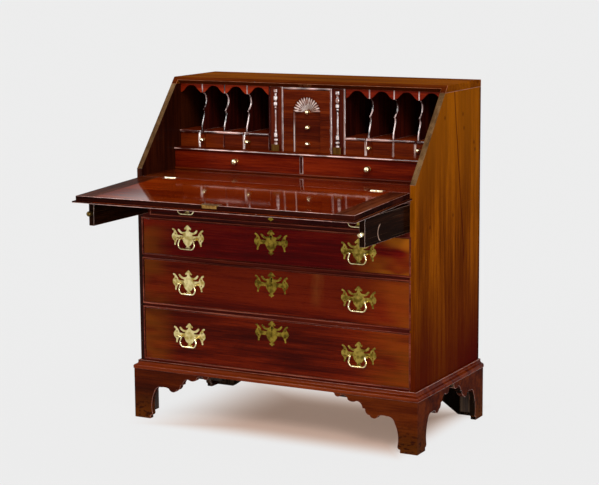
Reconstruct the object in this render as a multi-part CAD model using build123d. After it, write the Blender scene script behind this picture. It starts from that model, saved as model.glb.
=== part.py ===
# Slant-front desk with four long drawers, an open lid on two lopers and a fitted interior.
#
# While it is modelled, the case front lies in the plane y = 0, the back is at +Y and the floor is z = 0.
# Lengths are millimetres. The finished pieces are moved along Y so that the origin is the middle of the
# space that the open desk takes up on the floor.
import os
from math import asin, atan2, cos, degrees, hypot, radians, sin, tan

from build123d import *

os.makedirs("parts", exist_ok=True)

# Case
case_width = 990.0
case_depth = 504.0
case_height = 1108.0
side_thickness = 18.5
board_thickness = 22.0
top_depth = 267.0
back_thickness = 12.0
back_board_count = 4
back_board_gap = 0.6
edge_ease = 1.2
overrun = 5.0

# Base
foot_height = 166.0
foot_length = 288.0
side_foot_gap = 31.0
side_foot_share = 0.8507
foot_thickness = 19.0
foot_setback = 2.0
frame_thickness = 14.0
frame_strip_width = 70.0
moulding_height = 27.0
moulding_projection = 19.0
moulding_top_projection = 7.0
moulding_fillet = 4.5
glue_block_width = 38.0
glue_block_lift = 22.0
long_block_length = 95.0
long_block_depth = 22.0
long_block_height = 16.0
long_block_inset = 8.0
rear_bracket_foot = 62.0
rear_bracket_length = 255.0
rear_bracket_rise = 131.0

# Drawer rows, from the bottom up: their shares of the clear height, the top row taking the rest.
row_height_shares = [0.3281, 0.2806, 0.2243]
blade_thickness = 17.5
blade_depth = 75.0
runner_width = 55.0
bead_width = 4.5
bead_projection = 2.8
front_recess = 0.8
front_thickness = 20.0
front_ease = 0.8
drawer_side_gap = 1.5
drawer_top_gap = 1.8
rest_gap = 0.3
box_back_gap = 32.0
box_wall = 10.0
box_bottom = 7.0
box_bottom_lift = 6.0
box_top_drop = 8.0

# Writing board and lid. The lid is hinged along the top front edge of the writing board.
slope_rise = 305.0
lid_field_thickness = 15.9
lid_lip_thickness = 5.1
lid_side_gap = 0.8
lid_seat_gap = 0.4
lid_side_lap = 7.5
lid_lip_width = 10.0
lid_end_gap = 1.0
lid_top_reveal = 4.0
lid_ease = 2.4
lid_droop = 2.6
hinge_gap = 1.0
batten_width = 67.0
tongue_length = 10.0
tongue_thickness = 6.0
tongue_gap = 0.1

# Lid hinges
hinge_length = 40.0
hinge_from_batten = 22.5
hinge_leaf_width = 20.0
hinge_leaf_thickness = 2.2
hinge_knuckle_radius = 3.0
hinge_knuckle_count = 5
hinge_knuckle_gap = 0.2
hinge_pin_radius = 1.3
hinge_pin_gap = 0.05
hinge_relief = 0.5

# Lid lock
lock_plate_length = 62.0
lock_plate_width = 24.0
lock_plate_thickness = 1.6
lock_body_length = 50.0
lock_body_width = 18.0
lock_body_depth = 9.0
strike_length = 46.0
strike_width = 10.0
strike_thickness = 1.4
lid_plate_width = 74.0
lid_plate_height = 50.0
lid_plate_setback = 42.0

# Lopers
loper_thickness = 18.0
loper_gap = 1.2
loper_reach = 304.0
loper_length = 400.0
loper_divider_thickness = 12.0
loper_opening_gap = 1.6
loper_knob_height = 39.0
loper_knob_radius = 8.5
peg_radius = 4.0
peg_gap = 1.0
peg_from_end = 14.0

# Interior
lower_drawer_height = 57.0
small_drawer_height = 48.0
lower_step = 38.0
nose_projection = 5.0
gallery_floor_thickness = 8.0
ledge_thickness = 8.0
lower_divider_thickness = 12.0
gallery_lid_gap = 3.25
shelf_thickness = 8.0
centre_half_width = 86.0
partition_thickness = 5.0
document_width = 43.0
gallery_rail_thickness = 8.0
small_divider_thickness = 5.0
hole_divider_thickness = 5.0
hole_count = 4
valance_thickness = 5.0
valance_setback = 6.0
valance_height = 29.0
valance_arch = 24.0
divider_setback = 31.0
centre_drawer_heights = [54.0, 53.0]
dust_board_thickness = 4.0
inner_gap = 0.6
inner_front_thickness = 10.0
small_front_thickness = 15.0
centre_front_thickness = 25.0
inner_wall = 5.0
inner_bottom = 4.0
inner_bottom_lift = 3.0
inner_top_drop = 4.0
lower_back_gap = 20.0
upper_back_gap = 22.0
flute_radius = 16.0
flute_depth = 9.0
niche_half_width = 49.5
niche_depth = 14.0
niche_cove = 9.0
fan_rise = 23.0
fan_rim_depth = 4.0
fan_eye_radius = 8.0
document_wall = 3.0
document_box_drop = 30.0

# Half columns on the document drawers
plinth_width = 28.0
plinth_height = 22.0
plinth_depth = 9.0
column_radius = 8.0
column_top_gap = 8.7

# Brass
plate_width = 120.0
plate_margin = 1.6
plate_thickness = 1.8
handle_from_side = 171.0
post_from_middle = 32.25
post_height = -3.0
post_stem_radius = 3.0
post_reach = 12.0
post_head_radius = 4.5
post_head_half_width = 3.3
shank_radius = 2.4
shank_gap = 0.1
nut_radius = 6.0
nut_thickness = 4.0
bail_radius = 2.5
bail_pin_gap = 0.12
bail_pin_reach = 2.8
bail_neck_from_middle = 24.2
bail_flare_from_middle = 31.0
bail_base_from_middle = 24.0
bail_flare_drop = 20.0
bail_drop = 33.0
bail_neck_bend = 2.9
bail_flare_bend = 9.0
bail_base_bend = 12.0
keyhole_radius = 3.2
keyhole_slot_width = 3.0
keyhole_slot_length = 11.0
keyhole_top_share = 0.46
lock_width = 60.0
lock_margin = 10.6
lock_depth = 9.0
small_knob_radius = 7.4
large_knob_radius = 10.5
knob_stem_share = 0.5
knob_collar_share = 0.8
knob_reach_share = 2.4
nose_share = 0.46
# How far each row's handles and escutcheon sit above the row's middle, as shares of the room there
handle_lift_shares = [0.094, 0.132, 0.254, 0.16]
escutcheon_lift_shares = [0.94, 0.76, 0.635, 0.16]

# Places worked out from the sizes above
half_case = case_width / 2
half_inside = half_case - side_thickness
inside_back = case_depth - back_thickness
top_front = case_depth - top_depth
side_top = case_height - board_thickness
case_bottom_underside = foot_height + frame_thickness
first_opening = case_bottom_underside + board_thickness
lid_thickness = lid_field_thickness + lid_lip_thickness
writing_height = case_height - slope_rise

# Slope frame: s runs up the slope from the hinge line, d points out of the closed lid.
slope_depth = lid_field_thickness - lid_seat_gap
slope_angle = atan2(slope_rise, top_front) - asin(slope_depth / hypot(top_front, slope_rise))
slope_start = writing_height + slope_depth / cos(slope_angle)
slope_end = top_front * cos(slope_angle) + slope_rise * sin(slope_angle)
lid_length = slope_end - lid_top_reveal
field_length = lid_length - lid_lip_width

droop_angle = radians(lid_droop)
loper_top = (writing_height - lid_thickness / cos(droop_angle)
             - loper_reach * tan(droop_angle) - rest_gap)
opening_top = loper_top + loper_opening_gap


def on_slope(s, d):
    """The (y, z) point at s up the slope and d out from the plane through the hinge line."""
    along, out = (cos(slope_angle), sin(slope_angle)), (-sin(slope_angle), cos(slope_angle))
    return (s * along[0] + d * out[0], writing_height + s * along[1] + d * out[1])


def drawer_rows():
    """Bottom and top of each long drawer's opening, from the bottom row up."""
    rows = []
    bottom = first_opening
    clear = opening_top - first_opening - len(row_height_shares) * blade_thickness
    for share in row_height_shares:
        height = clear * share
        rows.append((bottom, bottom + height))
        bottom += height + blade_thickness
    rows.append((bottom, opening_top))
    return rows


rows = drawer_rows()
loper_outside = half_inside - loper_gap
loper_inside = loper_outside - loper_thickness
divider_outside = loper_inside - loper_gap
divider_inside = divider_outside - loper_divider_thickness
lid_joint = half_inside - batten_width
hinge_from_middle = lid_joint - hinge_from_batten - hinge_length / 2
handle_from_middle = half_inside - handle_from_side

# The gallery, set back so that the closed lid clears it
upper_front = (side_top - writing_height) / tan(slope_angle) + gallery_lid_gap
lower_front = upper_front - lower_step
ledge_top = writing_height + gallery_floor_thickness + lower_drawer_height + ledge_thickness
shelf_top = ledge_top + small_drawer_height + shelf_thickness
centre_joints = [ledge_top + sum(centre_drawer_heights[:n + 1])
                 for n in range(len(centre_drawer_heights))]
fan_centre_height = centre_joints[-1] + fan_rise

# Brass that has to fit the shallowest drawer
top_row_height = rows[-1][1] - rows[-1][0]
plate_height = top_row_height - 2 * plate_margin
lock_height = (top_row_height - drawer_top_gap - box_top_drop - rest_gap - box_bottom_lift
               - box_bottom - 2 * lock_margin)


from_base = (Align.CENTER, Align.CENTER, Align.MIN)


def board(x0, x1, y0, y1, z0, z1, ease=0):
    """A rectangular board between two corners, its edges eased where a radius is given."""
    middle = Pos((x0 + x1) / 2, (y0 + y1) / 2, (z0 + z1) / 2)
    piece = middle * Box(x1 - x0, y1 - y0, z1 - z0)
    return fillet(piece.edges(), ease) if ease else piece


def prism_across(points, x0, x1):
    """A prism whose outline is given as (y, z) points, from x0 to x1."""
    outline = Plane.YZ.offset(x0) * make_face(Polyline(*points, close=True))
    return extrude(outline, amount=x1 - x0, dir=(1, 0, 0))


def prism_back(outline, y0, y1):
    """A prism from a flat outline drawn in (x, z), from y0 back to y1."""
    return extrude(Plane.XZ.offset(-y0) * outline, amount=y1 - y0, dir=(0, 1, 0))


def rod(radius, start, direction, length):
    """A round rod of a given length from a start point along a direction."""
    return extrude(Plane(origin=start, z_dir=direction) * Circle(radius), amount=length)


def other_side(piece):
    """The same piece on the other side of the desk's middle."""
    return mirror(piece, about=Plane.YZ)


def both_sides(pieces):
    """The given pieces and their mirror images."""
    return list(pieces) + [other_side(piece) for piece in pieces]


def slope_prism(x0, x1, s0, s1, d0, d1):
    """A block whose faces follow the slope."""
    corners = [on_slope(s0, d0), on_slope(s1, d0), on_slope(s1, d1), on_slope(s0, d1)]
    return prism_across(corners, x0, x1)


# Case boards
def case_side():
    """The right side, one board with its front edge cut to the slope."""
    top_s = (side_top - writing_height - slope_depth * cos(slope_angle)) / sin(slope_angle)
    outline = [(0, case_bottom_underside), (case_depth, case_bottom_underside),
               (case_depth, side_top), on_slope(top_s, slope_depth), (0, slope_start)]
    side = prism_across(outline, half_inside, half_case)
    front_edges = [e for e in side.edges() if e.center().X > half_case - edge_ease
                   and e.center().Y < top_front
                   and case_bottom_underside < e.center().Z < side_top]
    return fillet([e for e in front_edges if e.center().Z > first_opening], edge_ease)


def top_board():
    """The top, with its front edge on the slope and a rabbet that takes the lid's upper edge."""
    top_s = (side_top - writing_height - slope_depth * cos(slope_angle)) / sin(slope_angle)
    outline = [(top_front, case_height), on_slope(top_s, slope_depth), (case_depth, side_top),
               (case_depth, case_height)]
    top = prism_across(outline, -half_case, half_case)
    rabbet_s = field_length + lid_end_gap
    rabbet = slope_prism(-half_inside, half_inside, rabbet_s - board_thickness * 3, rabbet_s,
                         slope_depth - board_thickness * 3, slope_depth + overrun)
    strike_pocket = slope_prism(-strike_length / 2, strike_length / 2, rabbet_s - overrun,
                                rabbet_s + strike_thickness,
                                slope_depth - lid_end_gap * 2 - strike_width,
                                slope_depth - lid_end_gap * 2)
    upper_edges = [e for e in top.edges() if e.center().Z > case_height - edge_ease]
    return fillet(upper_edges, edge_ease) - rabbet - strike_pocket


def lock_strike():
    """The brass strike let into the rabbet's edge for the lid's lock."""
    rabbet_s = field_length + lid_end_gap
    return slope_prism(-strike_length / 2, strike_length / 2, rabbet_s, rabbet_s + strike_thickness,
                       slope_depth - lid_end_gap * 2 - strike_width, slope_depth - lid_end_gap * 2)


def back_boards():
    """Boards across the back, one above the other between the sides."""
    pitch = (side_top - case_bottom_underside) / back_board_count
    boards = []
    for n in range(back_board_count):
        low = case_bottom_underside + n * pitch
        boards.append(board(-half_inside, half_inside, inside_back, case_depth,
                            low, low + pitch - back_board_gap))
    return boards


def hinge_places():
    """The middles of the two lid hinges along X."""
    return [-hinge_from_middle, hinge_from_middle]


def hinge_pockets(front):
    """What the hinges need cut out of the board on one side of the hinge line."""
    cuts = []
    leaf_start = hinge_knuckle_radius + hinge_relief
    for x in hinge_places():
        x0, x1 = x - hinge_length / 2, x + hinge_length / 2
        near, far = (-hinge_leaf_width, 0) if front else (0, hinge_leaf_width)
        cuts.append(board(x0, x1, near, far, writing_height - hinge_leaf_thickness,
                          writing_height + overrun))
        cuts.append(rod(leaf_start, (x0 - hinge_relief, 0, writing_height), (1, 0, 0),
                        hinge_length + 2 * hinge_relief))
    return cuts


def writing_board():
    """The fixed part of the writing surface, cut for the hinges."""
    piece = board(-half_inside, half_inside, 0, inside_back, opening_top, writing_height)
    for cut in hinge_pockets(front=False):
        piece -= cut
    return piece


def case_bottom():
    """The bottom of the case, which carries the lowest drawer."""
    return board(-half_inside, half_inside, 0, inside_back, case_bottom_underside, first_opening)


def blade_levels():
    """The top of each blade, from the lowest up."""
    return [row[0] for row in rows[1:]]


def drawer_blades():
    """Rails between the drawers, flush with the case front."""
    return [board(-half_inside, half_inside, 0, blade_depth, top - blade_thickness, top)
            for top in blade_levels()]


def drawer_runners():
    """Runners behind the blades, one each side at each level."""
    right = [board(half_inside - runner_width, half_inside, blade_depth, inside_back,
                   top - blade_thickness, top) for top in blade_levels()]
    return both_sides(right)


def peg_height():
    """The height of the loper stop pegs."""
    return (rows[-1][0] + loper_top) / 2


def loper_divider():
    """The upright beside the top drawer, slotted for the loper's stop peg."""
    piece = board(divider_inside, divider_outside, 0, inside_back, rows[-1][0], opening_top)
    slot_half = peg_radius + peg_gap
    slot_start = loper_length - loper_reach - peg_from_end - slot_half
    slot_end = loper_length - peg_from_end + slot_half
    slot = board(divider_inside - overrun, divider_outside + overrun, slot_start, slot_end,
                 peg_height() - slot_half, peg_height() + slot_half)
    return piece - slot


def bead(length):
    """A round-nosed strip lying along X, standing proud of y = 0, with its lower edge on z = 0."""
    radius = bead_width / 2
    flat = bead_projection - radius
    outline = make_face([
        Polyline((-flat, 0), (0, 0), (0, bead_width), (-flat, bead_width)),
        ThreePointArc((-flat, bead_width), (-bead_projection, radius), (-flat, 0)),
    ])
    return extrude(Plane.YZ * outline, amount=length, dir=(1, 0, 0))


def cockbeads():
    """Beads round each drawer opening."""
    beads = []
    for n, (low, high) in enumerate(rows):
        half = divider_inside if n == len(rows) - 1 else half_inside
        beads.append(Pos(-half, 0, high) * bead(2 * half))
        beads.append(Pos(-half, 0, low - bead_width) * bead(2 * half))
        upright = Rot(0, -90, 0) * bead(high - low + 2 * bead_width)
        right = Pos(half + bead_width, 0, low - bead_width) * upright
        beads += [right, other_side(right)]
    return beads


# Base
def base_frame():
    """Pine strips under the case bottom."""
    low, high = foot_height, case_bottom_underside
    front = board(-half_case, half_case, 0, frame_strip_width, low, high)
    back = board(-half_case, half_case, case_depth - frame_strip_width, case_depth, low, high)
    side = board(half_case - frame_strip_width, half_case, frame_strip_width,
                 case_depth - frame_strip_width, low, high)
    return [front, back] + both_sides([side])


def moulding_outline():
    """The base moulding's section: a fillet, an ogee and a top fillet, standing out to negative u."""
    out, top = moulding_projection, moulding_top_projection
    step = (out - top) / 2
    rise = (moulding_height - 2 * moulding_fillet) / 2
    low = foot_height + moulding_fillet
    turn = cos(radians(45))
    middle = (-out + step, low + rise)
    lower_mid = (-out + step * (1 - turn), low + rise * turn)
    upper_mid = (-top - step * (1 - turn), low + rise + rise * (1 - turn))
    return make_face([
        Polyline((-top, low + 2 * rise), (-top, foot_height + moulding_height),
                 (0, foot_height + moulding_height), (0, foot_height), (-out, foot_height),
                 (-out, low)),
        ThreePointArc((-out, low), lower_mid, middle),
        ThreePointArc(middle, upper_mid, (-top, low + 2 * rise)),
    ])


def base_moulding():
    """Three lengths of moulding, mitred at the front corners."""
    out = moulding_projection
    low, high = foot_height, foot_height + moulding_height
    reach = half_case + out
    front = extrude(Plane.YZ.offset(-reach) * moulding_outline(), amount=2 * reach, dir=(1, 0, 0))
    mitre = make_face(Polyline((-reach, -out), (reach, -out), (half_case, 0), (-half_case, 0),
                               close=True))
    front = front & extrude(Pos(0, 0, low) * mitre, amount=high - low)
    run = Pos(half_case, 0, 0) * (Rot(0, 0, 90) * extrude(
        Plane.YZ.offset(-out) * moulding_outline(), amount=case_depth + out, dir=(1, 0, 0)))
    mitre = make_face(Polyline((reach, -out), (half_case, 0), (half_case, case_depth),
                               (reach, case_depth), close=True))
    side = run & extrude(Pos(0, 0, low) * mitre, amount=high - low)
    return [front] + both_sides([side])


# The bracket foot's sawn outline, as shares of the foot's length and height from its outer corner.
# Each row is the end of a stretch, with the point an arc passes through, or None for a straight one.
foot_curve_shares = [
    ((0.205, 0.065), None),
    ((0.236, 0.12), (0.228, 0.08)),
    ((0.27, 0.56), (0.232, 0.36)),
    ((0.361, 0.666), (0.3, 0.64)),
    ((0.462, 0.653), (0.412, 0.674)),
    ((0.566, 0.65), (0.514, 0.592)),
    ((0.583, 0.65), None),
    ((0.618, 0.757), (0.61, 0.695)),
    ((0.65, 0.764), None),
    ((0.72, 0.886), (0.67, 0.85)),
    ((0.826, 0.892), (0.773, 0.862)),
]
foot_lobe_shares = [
    ((0.885, 0.972), (0.843, 0.95)),
    ((0.91, 0.972), None),
    ((0.985, 0.975), (0.95, 0.925)),
]


def foot_outline(length, curve_length, with_lobe):
    """The foot's face in (u, z), u from its outer corner inwards."""
    stretches = foot_curve_shares + (foot_lobe_shares if with_lobe else [])
    here = (foot_curve_shares[0][0][0] * curve_length, 0)
    lines = [Polyline((0, foot_height), (0, 0), here)]
    for end, middle in stretches:
        end = (end[0] * curve_length, end[1] * foot_height)
        if middle is None:
            lines.append(Line(here, end))
        else:
            middle = (middle[0] * curve_length, middle[1] * foot_height)
            lines.append(ThreePointArc(here, middle, end))
        here = end
    lines.append(Polyline(here, (length, foot_height), (0, foot_height)))
    return make_face(lines)


def foot_front_face():
    """Where the outer face of the front feet lies, ahead of the case."""
    return moulding_projection - foot_setback


def front_foot_board():
    """A front foot's front board, its outer corner at the origin."""
    outline = foot_outline(foot_length, foot_length, True)
    return prism_back(outline, 0, foot_thickness)


def side_foot_board():
    """A foot's side board, its outer corner at the origin, drawn as if it faced the front."""
    length = (case_depth + foot_front_face() - side_foot_gap) / 2
    return prism_back(foot_outline(length, length / side_foot_share, False), 0, foot_thickness)


def front_foot():
    """The right front foot: a front board and a side board, mitred at the corner."""
    out = foot_front_face()
    corner = half_case + out
    front = Pos(corner, -out, 0) * other_side(front_foot_board())
    side = Pos(corner, -out, 0) * (Rot(0, 0, 90) * side_foot_board())
    far = foot_length + overrun
    ahead = make_face(Polyline((corner, -out), (corner - far, -out), (corner - far, -out + far),
                               close=True))
    beside = make_face(Polyline((corner, -out), (corner, -out + far), (corner - far, -out + far),
                                close=True))
    return [front & extrude(ahead, amount=foot_height), side & extrude(beside, amount=foot_height)]


def rear_foot():
    """The right rear foot: a side bracket like the front ones and a plain sloped rear bracket."""
    out = foot_front_face()
    corner = half_case + out
    inner = corner - foot_thickness
    side = Pos(corner, case_depth, 0) * (Rot(0, 0, 90) * mirror(side_foot_board(), Plane.YZ))
    rear_outline = make_face(Polyline(
        (inner, 0), (inner, foot_height), (inner - rear_bracket_length, foot_height),
        (inner - rear_bracket_length, rear_bracket_rise), (inner - rear_bracket_foot, 0), close=True))
    rear = prism_back(rear_outline, case_depth - foot_thickness, case_depth)
    return [side, rear]


def foot_glue_blocks():
    """Upright blocks in the feet's corners and long ones behind the front brackets."""
    inner = half_case + foot_front_face() - foot_thickness
    behind = foot_thickness - foot_front_face()
    front = board(inner - glue_block_width, inner, behind, behind + glue_block_width,
                  glue_block_lift, foot_height)
    back_face = case_depth - foot_thickness
    rear = board(inner - glue_block_width, inner, back_face - glue_block_width, back_face,
                 glue_block_lift, foot_height)
    block_start = half_case + foot_front_face() - foot_length + long_block_inset
    long_block = board(block_start, block_start + long_block_length, behind,
                       behind + long_block_depth, foot_height - long_block_height, foot_height)
    return both_sides([front, rear, long_block])


# Lid, modelled level and then turned down by its droop
def drooped(piece):
    """The piece turned about the hinge line by the lid's droop."""
    hinge_line = Pos(0, 0, writing_height)
    return hinge_line * (Rot(lid_droop, 0, 0) * (hinge_line.inverse() * piece))


def lid_blank():
    """The whole lid as one lipped board."""
    field_half = half_inside - lid_side_gap
    lip_half = half_inside + lid_side_lap
    lip_top = writing_height - lid_field_thickness
    lip = board(-lip_half, lip_half, -lid_length, -hinge_gap, writing_height - lid_thickness, lip_top)
    outer = [e for e in lip.edges() if e.center().Z < writing_height - lid_thickness + edge_ease
             and e.center().Y < -hinge_gap - edge_ease]
    lip = fillet(outer, lid_ease)
    field = board(-field_half, field_half, -field_length, -hinge_gap, lip_top, writing_height)
    rim = [e for e in field.edges() if e.center().Z > writing_height - edge_ease
           and e.center().Y < -hinge_gap - edge_ease]
    return lip + fillet(rim, edge_ease)


def tongue(gap):
    """The tongue on the right end of the lid panel, larger by a gap where it is a groove."""
    joint = lid_joint
    middle = writing_height - lid_field_thickness / 2
    half = tongue_thickness / 2 + gap
    return board(joint - gap, joint + tongue_length + gap, -field_length + tongue_length - gap,
                 -hinge_gap - tongue_length - hinge_leaf_width + gap, middle - half, middle + half)


def lid_lock_cuts():
    """The pockets for the lock's plate and body."""
    front = -field_length
    plate = board(-lock_plate_length / 2, lock_plate_length / 2, front - overrun,
                  front + lock_plate_width, writing_height - lock_plate_thickness,
                  writing_height + overrun)
    body = board(-lock_body_length / 2, lock_body_length / 2, front - overrun,
                 front + lock_body_width,
                 writing_height - lock_plate_thickness - lock_body_depth, writing_height)
    return [plate, body]


def lid_panel():
    """The middle of the lid with a tongue at each end."""
    joint = lid_joint
    keep = board(-joint, joint, -lid_length - overrun, overrun, writing_height - lid_thickness * 2,
                 writing_height + overrun)
    panel = (lid_blank() & keep) + tongue(0) + other_side(tongue(0))
    for cut in hinge_pockets(front=True) + lid_lock_cuts():
        panel -= cut
    return panel


def lid_batten():
    """The right end batten, grooved for the panel's tongue."""
    joint = lid_joint
    keep = board(joint, half_case, -lid_length - overrun, overrun,
                 writing_height - lid_thickness * 2, writing_height + overrun)
    return (lid_blank() & keep) - tongue(tongue_gap)


def lid_lock():
    """The lock: a flush plate on the inner face, its body and the outer escutcheon."""
    front = -field_length
    plate = board(-lock_plate_length / 2, lock_plate_length / 2, front, front + lock_plate_width,
                  writing_height - lock_plate_thickness, writing_height)
    body = board(-lock_body_length / 2, lock_body_length / 2, front, front + lock_body_width,
                 writing_height - lock_plate_thickness - lock_body_depth,
                 writing_height - lock_plate_thickness)
    outline = plate_outline(lid_plate_width, lid_plate_height)
    escutcheon = extrude(outline - keyhole(lid_plate_height), amount=-plate_thickness)
    place = Pos(0, -lid_length + lid_plate_setback, writing_height - lid_thickness)
    return [plate + body, place * escutcheon]


def hinge_knuckles(x, case_leaf):
    """The knuckles that belong to one leaf, and the tabs that join them to it."""
    pitch = hinge_length / hinge_knuckle_count
    pieces = None
    for n in range(hinge_knuckle_count):
        if (n % 2 == 0) != case_leaf:
            continue
        x0 = x - hinge_length / 2 + n * pitch + hinge_knuckle_gap / 2
        length = pitch - hinge_knuckle_gap
        knuckle = rod(hinge_knuckle_radius, (x0, 0, writing_height), (1, 0, 0), length)
        reach = hinge_knuckle_radius + hinge_relief * 2
        near, far = (0, reach) if case_leaf else (-reach, 0)
        tab = board(x0, x0 + length, near, far, writing_height - hinge_leaf_thickness,
                    writing_height)
        pieces = knuckle + tab if pieces is None else pieces + knuckle + tab
    return pieces


def hinge_leaf(x, case_leaf):
    """One leaf of a hinge with its knuckles, bored for the pin."""
    start = hinge_knuckle_radius + hinge_relief
    near, far = (start, hinge_leaf_width) if case_leaf else (-hinge_leaf_width, -start)
    leaf = board(x - hinge_length / 2, x + hinge_length / 2, near, far,
                 writing_height - hinge_leaf_thickness, writing_height)
    bore = rod(hinge_pin_radius + hinge_pin_gap, (x - hinge_length, 0, writing_height), (1, 0, 0),
               2 * hinge_length)
    return leaf + hinge_knuckles(x, case_leaf) - bore


def hinge_case_leaves():
    """Both case leaves and the pins the lid turns on."""
    pieces = []
    for x in hinge_places():
        pieces.append(hinge_leaf(x, True))
        pieces.append(rod(hinge_pin_radius, (x - hinge_length / 2, 0, writing_height), (1, 0, 0),
                          hinge_length))
    return pieces


# Lopers
def small_knob(radius, surface, x, z):
    """A turned brass knob standing forward of a surface at y."""
    reach = radius * knob_reach_share
    stem = rod(radius * knob_stem_share, (x, surface, z), (0, -1, 0), reach - radius / 2)
    head = Pos(x, surface - reach + radius, z) * Sphere(radius)
    collar = rod(radius * knob_collar_share, (x, surface, z), (0, -1, 0), radius / 4)
    clip = board(x - 2 * radius, x + 2 * radius, surface - 2 * reach, surface, z - 2 * radius,
                 z + 2 * radius)
    return (stem + head + collar) & clip


def loper(x0, x1):
    """A loper pulled out to its reach, with its stop peg."""
    low = rows[-1][0] + rest_gap
    bar = board(x0, x1, -loper_reach, loper_length - loper_reach, low, loper_top, edge_ease)
    middle = (x0 + x1) / 2
    inward = -1 if middle > 0 else 1
    face = x0 if middle > 0 else x1
    peg_y = loper_length - loper_reach - peg_from_end
    peg = rod(peg_radius, (face, peg_y, peg_height()), (inward, 0, 0),
              loper_gap + loper_divider_thickness - peg_gap)
    return bar + peg


def loper_knob(x):
    """The knob on a loper's front end."""
    return small_knob(loper_knob_radius, -loper_reach, x, rows[-1][0] + loper_knob_height)


# Long drawers
def drawer_box(x0, x1, y0, y1, z0, z1, wall, bottom, lift):
    """Two sides, a back between them and a bottom held above their lower edges."""
    left = board(x0, x0 + wall, y0, y1, z0, z1)
    right = board(x1 - wall, x1, y0, y1, z0, z1)
    back = board(x0 + wall, x1 - wall, y1 - wall, y1, z0, z1)
    floor = board(x0 + wall, x1 - wall, y0, y1 - wall, z0 + lift, z0 + lift + bottom)
    return [left, right, back, floor]


def row_half_width(row):
    """Half the width of a row's opening; the top row lies between the loper dividers."""
    return divider_inside if row == len(rows) - 1 else half_inside


def handle_level(row):
    """The height of the middle of a row's handle plates."""
    low, high = rows[row]
    return (low + high) / 2 + handle_lift_shares[row] * (high - low - plate_height) / 2


def long_drawer_front(row):
    """The front board, drilled for the handles' shanks."""
    low, high = rows[row]
    half = row_half_width(row) - drawer_side_gap
    front = board(-half, half, front_recess, front_recess + front_thickness, low + rest_gap,
                  high - drawer_top_gap, front_ease)
    for side in (-1, 1):
        for post in (-1, 1):
            x = side * handle_from_middle + post * post_from_middle
            z = handle_level(row) + post_height
            front -= rod(shank_radius + shank_gap, (x, -overrun, z), (0, 1, 0),
                         front_thickness + 2 * overrun + front_recess)
    return front


def long_drawer_box(row):
    """The box behind a long drawer's front."""
    low, high = rows[row]
    half = row_half_width(row) - drawer_side_gap
    return drawer_box(-half, half, front_recess + front_thickness, inside_back - box_back_gap,
                      low + rest_gap, high - drawer_top_gap - box_top_drop, box_wall, box_bottom,
                      box_bottom_lift)


# Outlines of the pierced brass plates, as shares of half the plate's width and height
plate_body_shares = [(0, 1), (0.07, 0.93), (0.13, 0.82), (0.22, 0.7), (0.16, 0.66), (0.08, 0.67),
                     (0.08, 0.58), (0.13, 0.47), (0.22, 0.38), (0.29, 0.18), (0.34, -0.12),
                     (0.28, -0.36), (0.17, -0.57), (0.08, -0.66), (0.09, -0.74), (0.17, -0.79),
                     (0.13, -0.86), (0.06, -0.9), (0, -1)]
plate_arm_shares = [(0.09, 0.26), (0.1, 0.48), (0.24, 0.42), (0.36, 0.42), (0.46, 0.52), (0.52, 0.62),
                    (0.6, 0.56), (0.56, 0.42), (0.44, 0.3), (0.28, 0.24)]
plate_band_shares = [(0, -0.13), (0, 0.13), (0.7, 0.17), (0.7, -0.15)]
plate_horn_shares = [(0.64, 0.16), (0.68, 0.36), (0.76, 0.5), (0.83, 0.62), (0.93, 0.64),
                     (0.95, 0.56), (0.88, 0.5), (0.87, 0.36), (0.96, 0.16)]
plate_foot_shares = [(0.64, -0.08), (0.7, -0.3), (0.76, -0.5), (0.85, -0.52), (0.84, -0.36),
                     (0.95, -0.1)]
plate_lobe_share = (0.8, 0.03)
plate_lobe_radius_share = (0.2, 0.32)
plate_ball_shares = [(0.57, 0.57), (0.92, 0.6), (0.81, -0.56), (0.16, 0.69)]
plate_ball_radius_share = 0.052
plate_hole_shares = [(0.79, 0.27), (0.79, -0.18)]
plate_hole_radius_share = 0.035


def plate_outline(width, height):
    """The willow-pattern plate's face, upright in its own (x, y)."""
    a, b = width / 2, height / 2

    def scaled(points, side=1):
        return [(side * x * a, y * b) for x, y in points]

    body = scaled(plate_body_shares) + scaled(plate_body_shares[-2:0:-1], -1)
    outline = make_face(Polyline(*body, close=True))
    for side in (-1, 1):
        for points in (plate_arm_shares, plate_band_shares, plate_horn_shares, plate_foot_shares):
            outline += make_face(Polyline(*scaled(points, side), close=True))
        lobe_x, lobe_y = scaled([plate_lobe_share], side)[0]
        lobe = Ellipse(plate_lobe_radius_share[0] * a, plate_lobe_radius_share[1] * b)
        outline += Pos(lobe_x, lobe_y) * lobe
        for x, y in scaled(plate_ball_shares, side):
            outline += Pos(x, y) * Circle(plate_ball_radius_share * a)
    for side in (-1, 1):
        for x, y in scaled(plate_hole_shares, side):
            outline -= Pos(x, y) * Circle(plate_hole_radius_share * a)
    return outline


def keyhole(height):
    """The keyhole's outline in the upper half of an escutcheon."""
    size = height / plate_height
    top = height / 2 * keyhole_top_share
    slot = keyhole_slot_length * size
    return (Pos(0, top) * Circle(keyhole_radius * size)
            + Pos(0, top - slot / 2) * Rectangle(keyhole_slot_width * size, slot))


def upright_plate(outline):
    """A plate of the outline with its back in the plane y = 0."""
    return prism_back(outline, -plate_thickness, 0)


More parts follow.
